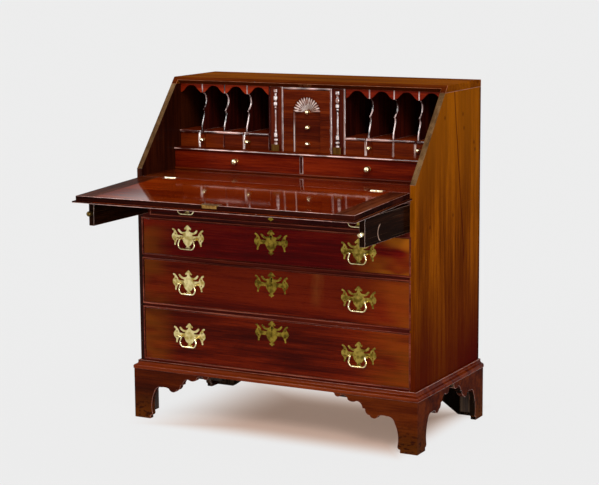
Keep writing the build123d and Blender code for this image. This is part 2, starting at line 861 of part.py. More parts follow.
def handle_brasses(x, z):
    """A handle's plate, its two posts with shanks, and the nuts inside the drawer."""
    plate = Pos(x, front_recess, z) * upright_plate(plate_outline(plate_width, plate_height))
    pieces = []
    for post in (-1, 1):
        post_x = x + post * post_from_middle
        post_z = z + post_height
        plate -= rod(shank_radius + shank_gap, (post_x, -overrun, post_z), (0, 1, 0), 2 * overrun)
        stem_start = front_recess - plate_thickness
        head_y = front_recess - post_reach
        stem = rod(post_stem_radius, (post_x, stem_start, post_z), (0, -1, 0), stem_start - head_y)
        shank = rod(shank_radius, (post_x, stem_start, post_z), (0, 1, 0),
                    plate_thickness + front_thickness + nut_thickness)
        cheeks = Box(2 * post_head_half_width, 2 * post_head_radius, 2 * post_head_radius)
        head = Pos(post_x, head_y, post_z) * (Sphere(post_head_radius) & cheeks)
        mouth = post_x - post * post_head_radius * 2
        bore = rod(bail_radius + bail_pin_gap, (mouth, head_y, post_z), (post, 0, 0),
                   post_head_radius * 2 + bail_pin_reach + bail_pin_gap)
        nut_start = front_recess + front_thickness
        nut = extrude(Plane(origin=(post_x, nut_start, post_z), z_dir=(0, 1, 0))
                      * RegularPolygon(nut_radius, 6), amount=nut_thickness)
        nut -= rod(shank_radius, (post_x, nut_start - overrun, post_z), (0, 1, 0),
                   nut_thickness + 2 * overrun)
        pieces += [stem + shank + head - bore, nut]
    return [plate] + pieces


def bail(x, z):
    """A swan-necked bail hanging from its two posts."""
    y = front_recess - post_reach
    level = z + post_height
    pin_end = post_from_middle + bail_pin_reach
    half = [(pin_end, 0), (bail_neck_from_middle, 0), (bail_flare_from_middle, -bail_flare_drop),
            (bail_base_from_middle, -bail_drop)]
    points = [Vector(x - across, y, level + up) for across, up in half]
    points += [Vector(x + across, y, level + up) for across, up in reversed(half)]
    bends = [bail_neck_bend, bail_flare_bend, bail_base_bend]
    path = FilletPolyline(*points, radius=bends + bends[::-1])
    section = Plane(origin=points[0], z_dir=(1, 0, 0)) * Circle(bail_radius)
    return sweep(section, path)


def escutcheon(row):
    """The keyhole plate in the middle of a long drawer, and the lock box behind the front."""
    low, high = rows[row]
    level = (low + high) / 2 + escutcheon_lift_shares[row] * (high - low - plate_height) / 2
    plate = plate_outline(plate_width, plate_height) - keyhole(plate_height)
    lock_start = front_recess + front_thickness
    lock_top = min(level + lock_height / 2, high - drawer_top_gap - box_top_drop)
    lock = board(-lock_width / 2, lock_width / 2, lock_start, lock_start + lock_depth,
                 lock_top - lock_height, lock_top)
    return [Pos(0, front_recess, level) * upright_plate(plate), lock]


def long_drawer_brasses(row):
    """Everything brass that is fixed to a long drawer."""
    pieces = escutcheon(row)
    for side in (-1, 1):
        pieces += handle_brasses(side * handle_from_middle, handle_level(row))
    return pieces


# Interior boards
partition_inside = centre_half_width
document_inside = partition_inside + partition_thickness
document_outside = document_inside + document_width
pigeon_start = document_outside + partition_thickness
hole_width = ((half_inside - pigeon_start - (hole_count - 1) * hole_divider_thickness) / hole_count)
small_split = (pigeon_start + half_inside) / 2


def hole_starts():
    """The left end of each pigeonhole on the right side."""
    return [pigeon_start + n * (hole_width + hole_divider_thickness) for n in range(hole_count)]


def flute_centres():
    """The middles of the right side's two small drawers."""
    inner = (pigeon_start + small_split - small_divider_thickness / 2) / 2
    outer = (small_split + small_divider_thickness / 2 + half_inside) / 2
    return [inner, outer]


def nosed(x0, x1, y0, z0, z1):
    """A shelf board with a rounded front edge."""
    shelf = board(x0, x1, y0, inside_back, z0, z1)
    nose = [e for e in shelf.edges() if e.center().Y < y0 + edge_ease / 2
            and e.length > (z1 - z0) * 2]
    return fillet(nose, (z1 - z0) * nose_share)


def gallery_shelves():
    """The floor board, the ledge, the two shelves, the centre rail and its dust boards."""
    floor = nosed(-half_inside, half_inside, lower_front - nose_projection / 2, writing_height,
                  writing_height + gallery_floor_thickness)
    ledge = nosed(-half_inside, half_inside, lower_front - nose_projection,
                  ledge_top - ledge_thickness, ledge_top)
    shelf = nosed(pigeon_start, half_inside, upper_front - nose_projection,
                  shelf_top - shelf_thickness, shelf_top)
    for x in flute_centres():
        flute_y = upper_front - flute_radius + flute_depth
        shelf -= rod(flute_radius - nose_projection, (x, flute_y, ledge_top), (0, 0, 1),
                     shelf_top - ledge_top + overrun)
    rail = nosed(-centre_half_width, centre_half_width, upper_front,
                 side_top - gallery_rail_thickness, side_top)
    start = upper_front + centre_front_thickness + inner_gap
    dust = [board(-centre_half_width, centre_half_width, start, inside_back,
                  level - dust_board_thickness, level) for level in centre_joints]
    return [floor, ledge, rail] + both_sides([shelf]) + dust


def gallery_partitions():
    """The full-height partitions and the dividers between drawers."""
    inner = board(partition_inside, document_inside, upper_front, inside_back, ledge_top, side_top)
    outer = board(document_outside, pigeon_start, upper_front, inside_back, ledge_top, side_top)
    small = board(small_split - small_divider_thickness / 2, small_split + small_divider_thickness / 2,
                  upper_front, inside_back, ledge_top, shelf_top - shelf_thickness)
    half = lower_divider_thickness / 2
    lower = board(-half, half, lower_front, inside_back, writing_height + gallery_floor_thickness,
                  ledge_top - ledge_thickness)
    return both_sides([inner, outer, small]) + [lower]


# The pigeonhole divider's front edge: (share of its setback, share of its height), bottom to top
divider_lower_shares = [(0, 0), (0.06, 0.14), (0.38, 0.34), (0.5, 0.46), (0.29, 0.55)]
divider_upper_shares = [(0.29, 0.55), (0.72, 0.64), (1, 0.78), (0.86, 0.91), (0.2, 1)]


def pigeonhole_dividers():
    """Thin uprights with a double-curved front edge."""
    height = side_top - valance_height - shelf_top

    def placed(shares):
        return [(upper_front + x * divider_setback, shelf_top + z * height) for x, z in shares]

    lower, upper = placed(divider_lower_shares), placed(divider_upper_shares)
    outline = make_face([
        Spline(*lower), Spline(*upper),
        Polyline(upper[-1], (upper[-1][0], side_top), (inside_back, side_top),
                 (inside_back, shelf_top), lower[0]),
    ])
    dividers = []
    for x in hole_starts()[1:]:
        face = Plane.YZ.offset(x - hole_divider_thickness) * outline
        dividers.append(extrude(face, amount=hole_divider_thickness, dir=(1, 0, 0)))
    return both_sides(dividers)


# Half of a valance's lower edge: (share of its width, share of the arch's rise)
valance_curve_shares = [(0, 0), (0.1, 0.16), (0.21, 0.52), (0.34, 0.9), (0.5, 1)]


def valances():
    """The shaped strip over each pigeonhole."""
    low = side_top - valance_height
    curve = [(x * hole_width, low + z * valance_arch) for x, z in valance_curve_shares]
    curve += [(hole_width - x, z) for x, z in reversed(curve[:-1])]
    outline = make_face([
        Spline(*curve),
        Polyline(curve[-1], (hole_width, side_top), (0, side_top), curve[0]),
    ])
    front = upper_front + valance_setback
    strip = prism_back(outline, front, front + valance_thickness)
    return both_sides([Pos(x, 0, 0) * strip for x in hole_starts()])


# Interior drawers
def inner_drawer(x0, x1, front, z0, z1, front_board, box_top, back_gap, wall=None):
    """A small drawer from its opening: its front, the box behind it, with running gaps."""
    wall = inner_wall if wall is None else wall
    box = drawer_box(x0 + inner_gap, x1 - inner_gap, front, inside_back - back_gap, z0 + rest_gap,
                     box_top, wall, inner_bottom, inner_bottom_lift)
    return [front_board] + box


def long_inner_drawer():
    """The right long interior drawer."""
    x0, x1 = lower_divider_thickness / 2, half_inside
    z0, z1 = writing_height + gallery_floor_thickness, ledge_top - ledge_thickness
    front = board(x0 + inner_gap, x1 - inner_gap, lower_front, lower_front + inner_front_thickness,
                  z0 + rest_gap, z1 - inner_gap, front_ease / 2)
    knob = small_knob(large_knob_radius, lower_front, (x0 + x1) / 2, (z0 + z1) / 2)
    return inner_drawer(x0, x1, lower_front + inner_front_thickness, z0, z1, front,
                        z1 - inner_top_drop, lower_back_gap) + [knob]


def small_drawer(n):
    """A small drawer on the right side, its front fluted in the middle; 0 is the inner one."""
    inner_end = small_split - small_divider_thickness / 2
    outer_start = small_split + small_divider_thickness / 2
    x0, x1 = [(pigeon_start, inner_end), (outer_start, half_inside)][n]
    z0, z1 = ledge_top, shelf_top - shelf_thickness
    x = flute_centres()[n]
    front = board(x0 + inner_gap, x1 - inner_gap, upper_front, upper_front + small_front_thickness,
                  z0 + rest_gap, z1 - inner_gap, front_ease / 2)
    front -= rod(flute_radius, (x, upper_front - flute_radius + flute_depth, z0), (0, 0, 1), z1 - z0)
    knob = small_knob(small_knob_radius, upper_front + flute_depth, x, (z0 + z1) / 2)
    front -= knob
    return inner_drawer(x0, x1, upper_front + small_front_thickness, z0, z1, front,
                        z1 - inner_top_drop, upper_back_gap) + [knob]


def niche():
    """The hollow sunk up through the centre drawers' fronts, with coved sides."""
    start = upper_front - overrun
    end = upper_front + niche_depth
    hollow = board(-niche_half_width, niche_half_width, start, end, ledge_top - overrun,
                   fan_centre_height)
    side_edges = [e for e in hollow.edges() if e.center().Y > end - edge_ease
                  and abs(e.center().X) > niche_half_width - edge_ease]
    return fillet(side_edges, niche_cove)


def fan_dish():
    """The half-round dished head of the niche, shallow at its rim and deep at its eye."""
    floor, rim = upper_front + niche_depth, upper_front + fan_rim_depth
    ahead = upper_front - overrun
    mouth = rod(niche_half_width, (0, ahead, fan_centre_height), (0, 1, 0), rim - ahead)
    cone = Cone(niche_half_width, fan_eye_radius, floor - rim, align=from_base)
    dish = Plane(origin=(0, rim, fan_centre_height), z_dir=(0, 1, 0)) * cone
    upper_half = board(-half_case, half_case, ahead - overrun, case_depth, fan_centre_height,
                       case_height)
    return (mouth + dish) & upper_half


def centre_drawers():
    """The three centre drawers from the bottom up, with the niche cut through their fronts."""
    levels = [ledge_top] + centre_joints + [side_top - gallery_rail_thickness]
    hollow = niche()
    dish = fan_dish()
    drawers = []
    for n in range(len(levels) - 1):
        z0, z1 = levels[n], levels[n + 1]
        half = centre_half_width
        front = board(-half + inner_gap, half - inner_gap, upper_front,
                      upper_front + centre_front_thickness, z0 + rest_gap, z1 - inner_gap,
                      front_ease / 2) - hollow
        last = n == len(levels) - 2
        if last:
            front -= dish
        knob_z = fan_centre_height if last else (z0 + z1) / 2
        knob = small_knob(small_knob_radius, upper_front + niche_depth, 0, knob_z)
        box_top = z1 - inner_top_drop - (0 if last else dust_board_thickness)
        drawers.append(inner_drawer(-half, half, upper_front + centre_front_thickness, z0, z1, front,
                                    box_top, upper_back_gap) + [knob])
    return drawers


# The half column's turned outline: (share of its radius, share of its height), bottom to top
column_shares = [
    (0.95, 0), (0.95, 0.03), (0.7, 0.045), (0.98, 0.07), (0.98, 0.1), (0.6, 0.115), (0.9, 0.14),
    (0.95, 0.18), (0.78, 0.21), (0.55, 0.235), (0.62, 0.25), (0.56, 0.26), (0.5, 0.63), (0.62, 0.64),
    (0.95, 0.655), (0.62, 0.67), (0.6, 0.685), (0.9, 0.71), (1, 0.735), (0.85, 0.765), (0.55, 0.785),
    (0.8, 0.8), (0.98, 0.83), (0.9, 0.87), (0.6, 0.9), (0.72, 0.93), (0.98, 0.95), (0.98, 1),
]


def half_column(x, surface, z):
    """A turned half column applied to a surface, standing on its plinth block."""
    plinth = board(x - plinth_width / 2, x + plinth_width / 2, surface - plinth_depth, surface, z,
                   z + plinth_height)
    column_height = side_top - column_top_gap - z - plinth_height
    points = [(0, 0)] + [(r * column_radius, h * column_height) for r, h in column_shares]
    points.append((0, column_height))
    outline = Plane.XZ * make_face(Polyline(*points, close=True))
    turned = Pos(x, surface, z + plinth_height) * revolve(outline, Axis.Z)
    front_room = board(x - plinth_width, x + plinth_width, surface - plinth_width, surface, z,
                       z + plinth_height + column_height + overrun)
    return [plinth, turned & front_room]


def document_drawer():
    """The right document drawer, a tall narrow box behind a half column."""
    x0, x1 = document_inside, document_outside
    z0, z1 = ledge_top, side_top
    face = upper_front + nose_projection / 2
    front = board(x0 + inner_gap, x1 - inner_gap, face, face + inner_front_thickness, z0 + rest_gap,
                  z1 - inner_gap)
    pieces = inner_drawer(x0, x1, face + inner_front_thickness, z0, z1, front,
                          z1 - document_box_drop, upper_back_gap, document_wall)
    return pieces + half_column((x0 + x1) / 2, face, z0 + rest_gap)


# All nodes by name
row_names = ["bottom_drawer", "third_drawer", "second_drawer", "top_drawer"]
nodes = {
    "left_side": [other_side(case_side())],
    "right_side": [case_side()],
    "top_board": [top_board()],
    "case_bottom": [case_bottom()],
    "back_boards": back_boards(),
    "writing_board": [writing_board()],
    "drawer_blades": drawer_blades(),
    "drawer_runners": drawer_runners(),
    "loper_dividers": both_sides([loper_divider()]),
    "cockbeads": cockbeads(),
    "base_frame": base_frame(),
    "base_moulding": base_moulding(),
    "front_feet": both_sides(front_foot()),
    "rear_feet": both_sides(rear_foot()),
    "foot_glue_blocks": foot_glue_blocks(),
    "gallery_shelves": gallery_shelves(),
    "gallery_partitions": gallery_partitions(),
    "pigeonhole_dividers": pigeonhole_dividers(),
    "valances": valances(),
    "hinge_case_leaves": hinge_case_leaves(),
    "lock_strike": [lock_strike()],
    "lid_panel": [drooped(lid_panel())],
    "lid_end_battens": [drooped(piece) for piece in both_sides([lid_batten()])],
    "lid_hinge_leaves": [drooped(hinge_leaf(x, False)) for x in hinge_places()],
    "lid_lock": [drooped(piece) for piece in lid_lock()],
    "left_loper": [loper(-loper_outside, -loper_inside)],
    "right_loper": [loper(loper_inside, loper_outside)],
    "left_loper_knob": [loper_knob(-(loper_inside + loper_outside) / 2)],
    "right_loper_knob": [loper_knob((loper_inside + loper_outside) / 2)],
    "right_long_inner_drawer": long_inner_drawer(),
    "left_long_inner_drawer": [other_side(piece) for piece in long_inner_drawer()],
    "right_document_drawer": document_drawer(),
    "left_document_drawer": [other_side(piece) for piece in document_drawer()],
}
for n, name in enumerate(["inner_small_drawer", "outer_small_drawer"]):
    nodes["right_" + name] = small_drawer(n)
    nodes["left_" + name] = [other_side(piece) for piece in small_drawer(n)]
for name, pieces in zip(["bottom", "middle", "carved"], centre_drawers()):
    nodes["centre_" + name + "_drawer"] = pieces
for row, name in enumerate(row_names):
    nodes[name + "_front"] = [long_drawer_front(row)]
    nodes[name + "_box"] = long_drawer_box(row)
    nodes[name + "_brasses"] = long_drawer_brasses(row)
    nodes[name + "_left_bail"] = [bail(-handle_from_middle, handle_level(row))]
    nodes[name + "_right_bail"] = [bail(handle_from_middle, handle_level(row))]

# The origin moves to the middle of the floor space of the open desk.
lid_front = lid_length * cos(droop_angle) - lid_thickness * sin(droop_angle)
to_origin = Pos(0, (lid_front - case_depth) / 2, 0)
for name, pieces in nodes.items():
    solids = [solid for piece in pieces for solid in (to_origin * piece).solids()]
    export_step(Compound(solids), "parts/" + name + ".step")
print(len(nodes), "nodes; moved along Y by", round((lid_front - case_depth) / 2, 4))
print("slope", round(degrees(slope_angle), 3), "slope start", round(slope_start, 2),
      "lid length", round(lid_length, 2), "loper top", round(loper_top, 2), "rows", rows)
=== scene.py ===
# %% [markdown]
# # A slant-front desk in mahogany
# The shape of this desk comes from a solid model: every board, bail and hinge leaf is already there as a
# mesh, in metres, standing on the floor at the origin. This notebook gives it its woods and its brass, adds
# the small hand work that a solid model leaves out, and sets up the studio and the camera.

# %% Loading the desk
import math

import bmesh
import bpy
from mathutils import Matrix, Vector


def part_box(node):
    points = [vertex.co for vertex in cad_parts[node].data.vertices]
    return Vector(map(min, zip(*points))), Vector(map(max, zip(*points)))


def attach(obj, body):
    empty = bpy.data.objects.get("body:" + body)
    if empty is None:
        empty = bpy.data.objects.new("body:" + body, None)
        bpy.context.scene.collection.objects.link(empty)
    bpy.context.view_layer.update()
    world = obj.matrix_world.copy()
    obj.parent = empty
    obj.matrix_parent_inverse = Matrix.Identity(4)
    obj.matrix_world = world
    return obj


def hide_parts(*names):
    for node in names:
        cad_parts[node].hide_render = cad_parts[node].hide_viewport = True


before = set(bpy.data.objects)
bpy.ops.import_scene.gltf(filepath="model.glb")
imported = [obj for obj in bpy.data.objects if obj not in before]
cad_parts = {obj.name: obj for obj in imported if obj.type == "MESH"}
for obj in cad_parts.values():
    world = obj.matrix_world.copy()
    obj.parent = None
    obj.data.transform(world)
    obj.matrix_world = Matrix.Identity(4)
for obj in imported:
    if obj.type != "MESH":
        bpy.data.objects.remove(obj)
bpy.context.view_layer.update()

scene = bpy.context.scene
scene.view_settings.view_transform = "Standard"

# %% [markdown]
# ## The camera
# A photograph of furniture is usually taken from standing height and from several metres away, with a long
# lens, so that the uprights stay upright. A camera can be aimed with a Track To constraint, or by typing its
# angles. Here its three axes are worked out from yaw, pitch and roll and go straight into the matrix,
# because the small roll of a hand-held shot is easier to see that way.

# %% Camera
eye = Vector((2.67006, -4.85054, 1.53626))
yaw, pitch, roll = 0.4924, -0.1659, -0.0076
picture_width = 599
focal_pixels = 1775.27

ahead = Vector((-math.sin(yaw) * math.cos(pitch), math.cos(yaw) * math.cos(pitch), math.sin(pitch)))
level = Vector((math.cos(yaw), math.sin(yaw), 0))
upward = level.cross(ahead)
right = level * math.cos(roll) + upward * math.sin(roll)
upward = upward * math.cos(roll) - level * math.sin(roll)


def put(name, data):
    """A new object, standing in the scene's origin."""
    thing = bpy.data.objects.new(name, data)
    scene.collection.objects.link(thing)
    return thing


camera = put("camera", bpy.data.cameras.new("camera"))
camera.data.sensor_width = 36
camera.data.lens = focal_pixels * camera.data.sensor_width / picture_width
camera.data.clip_end = 200
camera.matrix_world = Matrix.Translation(eye) @ Matrix((right, upward, -ahead)).transposed().to_4x4()
scene.camera = camera
print("lens", round(camera.data.lens, 1), "mm")

# %% [markdown]
# ## Writing shaders as sums
# A material is a graph of nodes. Clicking hundreds of them together is slow, so two classes let a finish be
# written like arithmetic. The first is an Amount: it wraps one socket, and adding or multiplying Amounts
# adds Math nodes. Colours never pass through Math, which would turn them grey; they are blended with Mix.

# %% Amounts
def tone(red, green, blue):
    """A screen colour, 0 to 255 a channel, as the linear light that shaders use."""
    shares = [channel / 255 for channel in (red, green, blue)]
    return tuple(s / 12.92 if s <= 0.04045 else ((s + 0.055) / 1.055) ** 2.4 for s in shares) + (1.0,)


def dimmed(colour, share):
    """A screen colour with only a share of its light."""
    return tuple(channel * share for channel in tone(*colour)[:3]) + (1.0,)


class Amount:
    """A number or colour that varies over a surface."""

    def __init__(self, finish, socket):
        self.finish = finish
        self.socket = socket

    def sum_of(self, operation, first, second):
        return self.finish.node("Math", {"operation": operation}, {0: first, 1: second})

    def __add__(self, other):
        return self.sum_of("ADD", self, other)

    def __sub__(self, other):
        return self.sum_of("SUBTRACT", self, other)

    def __rsub__(self, other):
        return self.sum_of("SUBTRACT", other, self)

    def __mul__(self, other):
        return self.sum_of("MULTIPLY", self, other)

    def __lt__(self, other):
        return self.sum_of("LESS_THAN", self, other)

    def __gt__(self, other):
        return self.sum_of("GREATER_THAN", self, other)

    __radd__ = __add__
    __rmul__ = __mul__


print("half grey as light", round(tone(128, 128, 128)[0], 3))

# %% [markdown]
# ## A finish and its patterns
# The second class holds the nodes of one material, or of the world. Its node method makes any node; the
# others are the few patterns that this desk needs again and again: clouds, grain, smooth steps, distances
# and bumps. They all read Object coordinates, so a pattern goes right through a board like real grain and
# stays with the board when a drawer slides out.

# %% Finishes
class Finish:
    """The nodes of one material, or of the world."""

    def __init__(self, owner):
        self.owner = owner
        owner.use_nodes = True
        self.tree = owner.node_tree
        self.tree.nodes.clear()
        self.place = self.node("TexCoord", output="Object")

    def node(self, kind, settings=None, sockets=None, output=0):
        """A node of a type, with its settings first and then the values or links of its sockets."""
        made = self.tree.nodes.new("ShaderNode" + kind)
        for name, setting in (settings or {}).items():
            if name == "stops":
                stops = made.color_ramp.elements
                stops[0].position, stops[0].color = setting[0]
                stops[1].position, stops[1].color = setting[-1]
                for position, colour in setting[1:-1]:
                    stops.new(position).color = colour
            else:
                setattr(made, name, setting)
        for name, value in (sockets or {}).items():
            if isinstance(value, Amount):
                self.tree.links.new(value.socket, made.inputs[name])
            else:
                made.inputs[name].default_value = value
        return Amount(self, made.outputs[output]) if made.outputs else None

    def axis(self, letter):
        return self.node("SeparateXYZ", None, {0: self.place}, letter)

    def cloud(self, scales, detail=2.0, seed=0.0):
        """Noise with its own number of spots per metre along each axis."""
        placed = self.node("Mapping", None, {"Vector": self.place, "Location": (seed, 2 * seed, 3 * seed),
                                             "Scale": scales})
        return self.node("TexNoise", None, {"Vector": placed, "Scale": 1.0, "Detail": detail}, "Fac")

    def grain(self, along, length_scale, width_scale, detail=2.0, seed=0.0):
        """Noise drawn out along the grain."""
        scales = [width_scale] * 3
        scales["XYZ".index(along)] = length_scale
        return self.cloud(scales, detail, seed)

    def step(self, value, start, end, low=0.0, high=1.0):
        """A smooth step from low to high as the value goes from start to end."""
        return self.node("MapRange", {"interpolation_type": "SMOOTHSTEP"},
                         {"Value": value, "From Min": start, "From Max": end, "To Min": low,
                          "To Max": high})

    def away_from(self, value, middle):
        """How far a value is from a middle one, on either side of it."""
        return self.node("Math", {"operation": "ABSOLUTE"}, {0: value - middle})

    def length(self, way):
        return self.node("VectorMath", {"operation": "LENGTH"}, {0: way}, "Value")

    def way_from(self, centre, scales):
        """How far a spot is from a centre, each axis times its scale; a scale of 0 leaves the axis out."""
        start = tuple(0 - c * scale for c, scale in zip(centre, scales))
        return self.length(self.node("Mapping", None, {"Vector": self.place, "Location": start,
                                                       "Scale": scales}))

    def ramp(self, value, *colours):
        """Screen colours at even steps, as the value goes from 0 to 1."""
        stops = [(n / (len(colours) - 1), tone(*colour)) for n, colour in enumerate(colours)]
        return self.node("ValToRGB", {"stops": stops}, {"Fac": value}, "Color")

    def mix(self, first, second, share):
        return self.node("Mix", {"data_type": "RGBA"}, {0: share, 6: first, 7: second}, 2)

    def bump(self, height, depth, strength=1.0):
        return self.node("Bump", None, {"Height": height, "Distance": depth, "Strength": strength})

    def surface(self, sockets):
        """Ends the graph in a Principled shader."""
        shader = self.node("BsdfPrincipled", None, sockets)
        self.node("OutputMaterial", None, {"Surface": shader})
        return self.owner


print("finishes ready")

# %% [markdown]
# ## Floor and backdrop
# The desk stands on a seamless pale floor that fills the whole picture. A real studio uses a roll of paper.
# Here one very large sheet of floor runs past the edge of the picture. Part of what the camera sees of it
# glows evenly, so that it stays pale to its far end, and the rest is lit like paper, so that it keeps the
# desk's shadow. Close to the desk the paper and its glow are painted darker and warmer, a painted shadow
# with the colour of light thrown back by the wood painted into it.

# %% Floor
floor_reach = 80.0
paper = tone(237, 237, 237)
# Painted shadow and painted bounce light: near the desk the paper and its glow are darker and warmer.
painted_shade_paper, painted_shade_glow = tone(216, 184, 168), tone(230, 200, 180)
glow_near, glow_away = 0.28, 0.94


def seen(finish):
    """1 for rays from the camera, also by way of metal or glass, and 0 for the light on the desk."""
    rays = [finish.node("LightPath", output=name) for name in
            ("Is Camera Ray", "Is Glossy Ray", "Is Transmission Ray")]
    return finish.node("Clamp", None, {"Value": rays[0] + rays[1] + rays[2]})


def mesh_of(name, bm):
    """Ends a bmesh as a mesh."""
    mesh = bpy.data.meshes.new(name)
    bm.to_mesh(mesh)
    bm.free()
    return mesh


bm = bmesh.new()
bmesh.ops.create_grid(bm, x_segments=8, y_segments=8, size=floor_reach)
floor = put("floor", mesh_of("floor", bm))
finish = Finish(bpy.data.materials.new("floor paper"))
clear_left = finish.step(0.0 - finish.axis("X"), 0.1, 0.52)
clear_right = finish.step(finish.axis("X"), 0.36, 0.5)
clear_before = finish.step(0.0 - finish.axis("Y"), 0.0, 0.17)
clear_behind = finish.step(finish.axis("Y"), 0.3, 0.6)
away = clear_left
for side in (clear_right, clear_before, clear_behind):
    away = finish.node("Math", {"operation": "MAXIMUM"}, {0: away, 1: side})
glow = finish.node("Emission", None, {"Color": finish.mix(painted_shade_glow, paper, away), "Strength": 1.0})
lit = finish.node("BsdfDiffuse", None, {"Color": finish.mix(painted_shade_paper, paper, away)})
glow_share = seen(finish) * (away * (glow_away - glow_near) + glow_near)
both = finish.node("MixShader", None, {0: glow_share, 1: lit, 2: glow})
finish.node("OutputMaterial", None, {"Surface": both})
floor.data.materials.append(finish.owner)
print("floor", floor_reach, "m")

# %% [markdown]
# ## Light
# Polished wood shows its colour best under large soft lights, because a small hard one burns out into
# highlights. Area lamps near the desk would make a pool of light on the floor. Two suns with a wide angle
# light everything evenly instead: the key from the upper right, the other from the upper left as fill,
# and the pale world fills the shadows. Two lamps behind cloth are seen by the polish and the metal alone,
# as bright lines along round edges.

# %% Lamps and world
def hang(name, kind, towards):
    """A lamp that shines from a direction."""
    lamp = put(name, bpy.data.lights.new(name, kind))
    lamp.rotation_euler = Vector(towards).to_track_quat("Z", "Y").to_euler()
    return lamp


def sun(name, towards, strength, angle):
    """A sun whose disc is some degrees wide, for soft shadows."""
    lamp = hang(name, "SUN", towards)
    lamp.data.energy = strength
    lamp.data.angle = math.radians(angle)


def softbox(name, place, width, height, power):
    """A lamp behind cloth, aimed at the gallery, which lights no dull surface."""
    lamp = hang(name, "AREA", Vector(place) - gallery_middle)
    lamp.location = place
    lamp.data.shape = "RECTANGLE"
    lamp.data.size, lamp.data.size_y = width, height
    lamp.data.energy = power
    lamp.visible_diffuse = False


gallery_middle = Vector((0, 0.1, 0.9))
sun("key", (0.9, -1.3, 1.5), 1.5, 24)
sun("fill", (-0.6, -1.2, 1.6), 0.5, 50)
softbox("strip at the right", (4.2, -2.6, 1.0), 0.7, 2.0, 260)
softbox("box at the left", (-2.3, -3.0, 3.4), 1.6, 1.6, 110)

scene.world = bpy.data.worlds.new("studio")
sky = Finish(scene.world)
room = sky.node("Background", None, {"Color": (1, 1, 1, 1), "Strength": 0.5})
wall = sky.node("Background", None, {"Color": paper, "Strength": 1.0})
both = sky.node("MixShader", None, {0: seen(sky), 1: room, 2: wall})
sky.node("OutputWorld", None, {"Surface": both})

# %% [markdown]
# ## Mahogany
# Mahogany has a red-brown ground, broad soft bands where the light catches the fibre differently, fine
# threads, and short dark pores that all run with the grain. Each is a noise with few spots per metre along
# the grain and many across it. The bands and threads choose a colour from a ramp, and the pores darken it
# and cut into the polish. Pictures of real veneer would look as good from one side, but they stretch and
# show seams on a solid board, where this pattern goes right through the wood.

# %% Mahogany
def mahogany(name, along, dark, middle, light, seed=0.0, gloss=0.3, polish=0.08, specular=0.0, marks=None,
             spread=0.16):
    """A board of mahogany under a film of polish; marks may add its own colour changes."""
    finish = Finish(bpy.data.materials.new(name))
    bands = finish.grain(along, 1.5, 9.0, 2.0, seed)
    ribbons = finish.grain(along, 3.0, 60.0, 3.0, seed + 3)
    threads = finish.grain(along, 14.0, 420.0, 3.0, seed + 5)
    pores = finish.step(finish.grain(along, 70.0, 1500.0, 1.0, seed + 7), 0.6, 0.72)
    figure = finish.step(bands * 0.42 + ribbons * 0.32 + threads * 0.26, 0.5 - spread, 0.5 + spread)
    colour = finish.ramp(figure, dark, middle, light)
    colour = finish.mix(colour, dimmed(dark, 0.4), pores * 0.5)
    if marks:
        colour = marks(finish, colour)
    rough = finish.step(threads, 0.3, 0.7, gloss - 0.05, gloss + 0.05) + pores * 0.12
    skin = finish.bump(threads * 0.5 - pores, 0.0002, 0.4)
    if callable(polish):
        polish = polish(finish)
    return finish.surface({"Base Color": colour, "Roughness": rough, "Normal": skin,
                           "Specular IOR Level": specular, "Coat Weight": polish,
                           "Coat Roughness": gloss * 0.6})


print("mahogany ready")

# %% [markdown]
# ## Dressing a board
# A solid node comes with a plain material. Most boards get one wood all over. Where two finishes meet on one
# piece, as on a side that the sun has bleached outside only, the faces are picked by where their corners
# are or by the way they face. Picking them by hand in Edit Mode would be lost when the solid model changes.

# %% Dressing
def dress(names, material):
    """Gives solid nodes a material."""
    for name in names:
        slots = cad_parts[name].data.materials
        slots.clear()
        slots.append(material)


def paint_faces(mesh, material, chosen, flats_only=False):
    """Gives another material to the faces that chosen picks by their corners and normal."""
    mesh.materials.append(material)
    painted = 0
    for face in mesh.polygons:
        if flats_only and face.material_index:
            continue
        if chosen([mesh.vertices[corner].co for corner in face.vertices], face.normal):
            face.material_index = len(mesh.materials) - 1
            painted += 1
    return painted


def paint_node(name, material, chosen):
    """Paints faces of a solid node."""
    return paint_faces(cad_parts[name].data, material, chosen)


square_on = 0.9


def faces_front(corners, normal):
    """Whether a face looks straight to the front."""
    return normal.y < -square_on


print("nodes to dress", len(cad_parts))

# %% [markdown]
# ## Rubbed edges and painted highlights
# The edges of an old desk are never sharp. Planing, polishing and two centuries of sleeves round them, and
# the round catches a bright line of light that outlines every board. Its polish is shinier than the flats
# and its colour is painted paler, in patches: partly wear, where the dark top layer is worn through, and
# partly a painted highlight along the round. The solid model has rounded some edges already; their faces
# look along no axis, and are painted with such a finish too.

# %% Edge finish
least_square = 0.97


def edge_wear_and_highlight(name, colour, rough=0.2, shine=0.5):
    """The finish of a rounded edge, painted brighter than the flats: wear and a painted highlight."""
    finish = Finish(bpy.data.materials.new(name))
    wear_and_highlight = finish.step(finish.cloud((40, 40, 40), 3.0, 4), 0.35, 0.65)
    return finish.surface({"Base Color": finish.mix(dimmed(colour, 0.45), tone(*colour), wear_and_highlight),
                           "Roughness": finish.step(wear_and_highlight, 0.0, 1.0, rough + 0.06, rough - 0.04),
                           "Specular IOR Level": shine, "Coat Weight": shine, "Coat Roughness": 0.12})


def eased(corners, normal):
    """Whether a face belongs to an edge that the solid model has already rounded."""
    return 0 < max(abs(part) for part in normal) < least_square


# The pale colours of both edge finishes are partly wear and partly painted highlight.
warm_edge = edge_wear_and_highlight("worn and highlighted edge", (150, 78, 52))
pale_edge = edge_wear_and_highlight("pale worn and highlighted edge", (250, 214, 202), rough=0.16)
print("edge finishes ready")

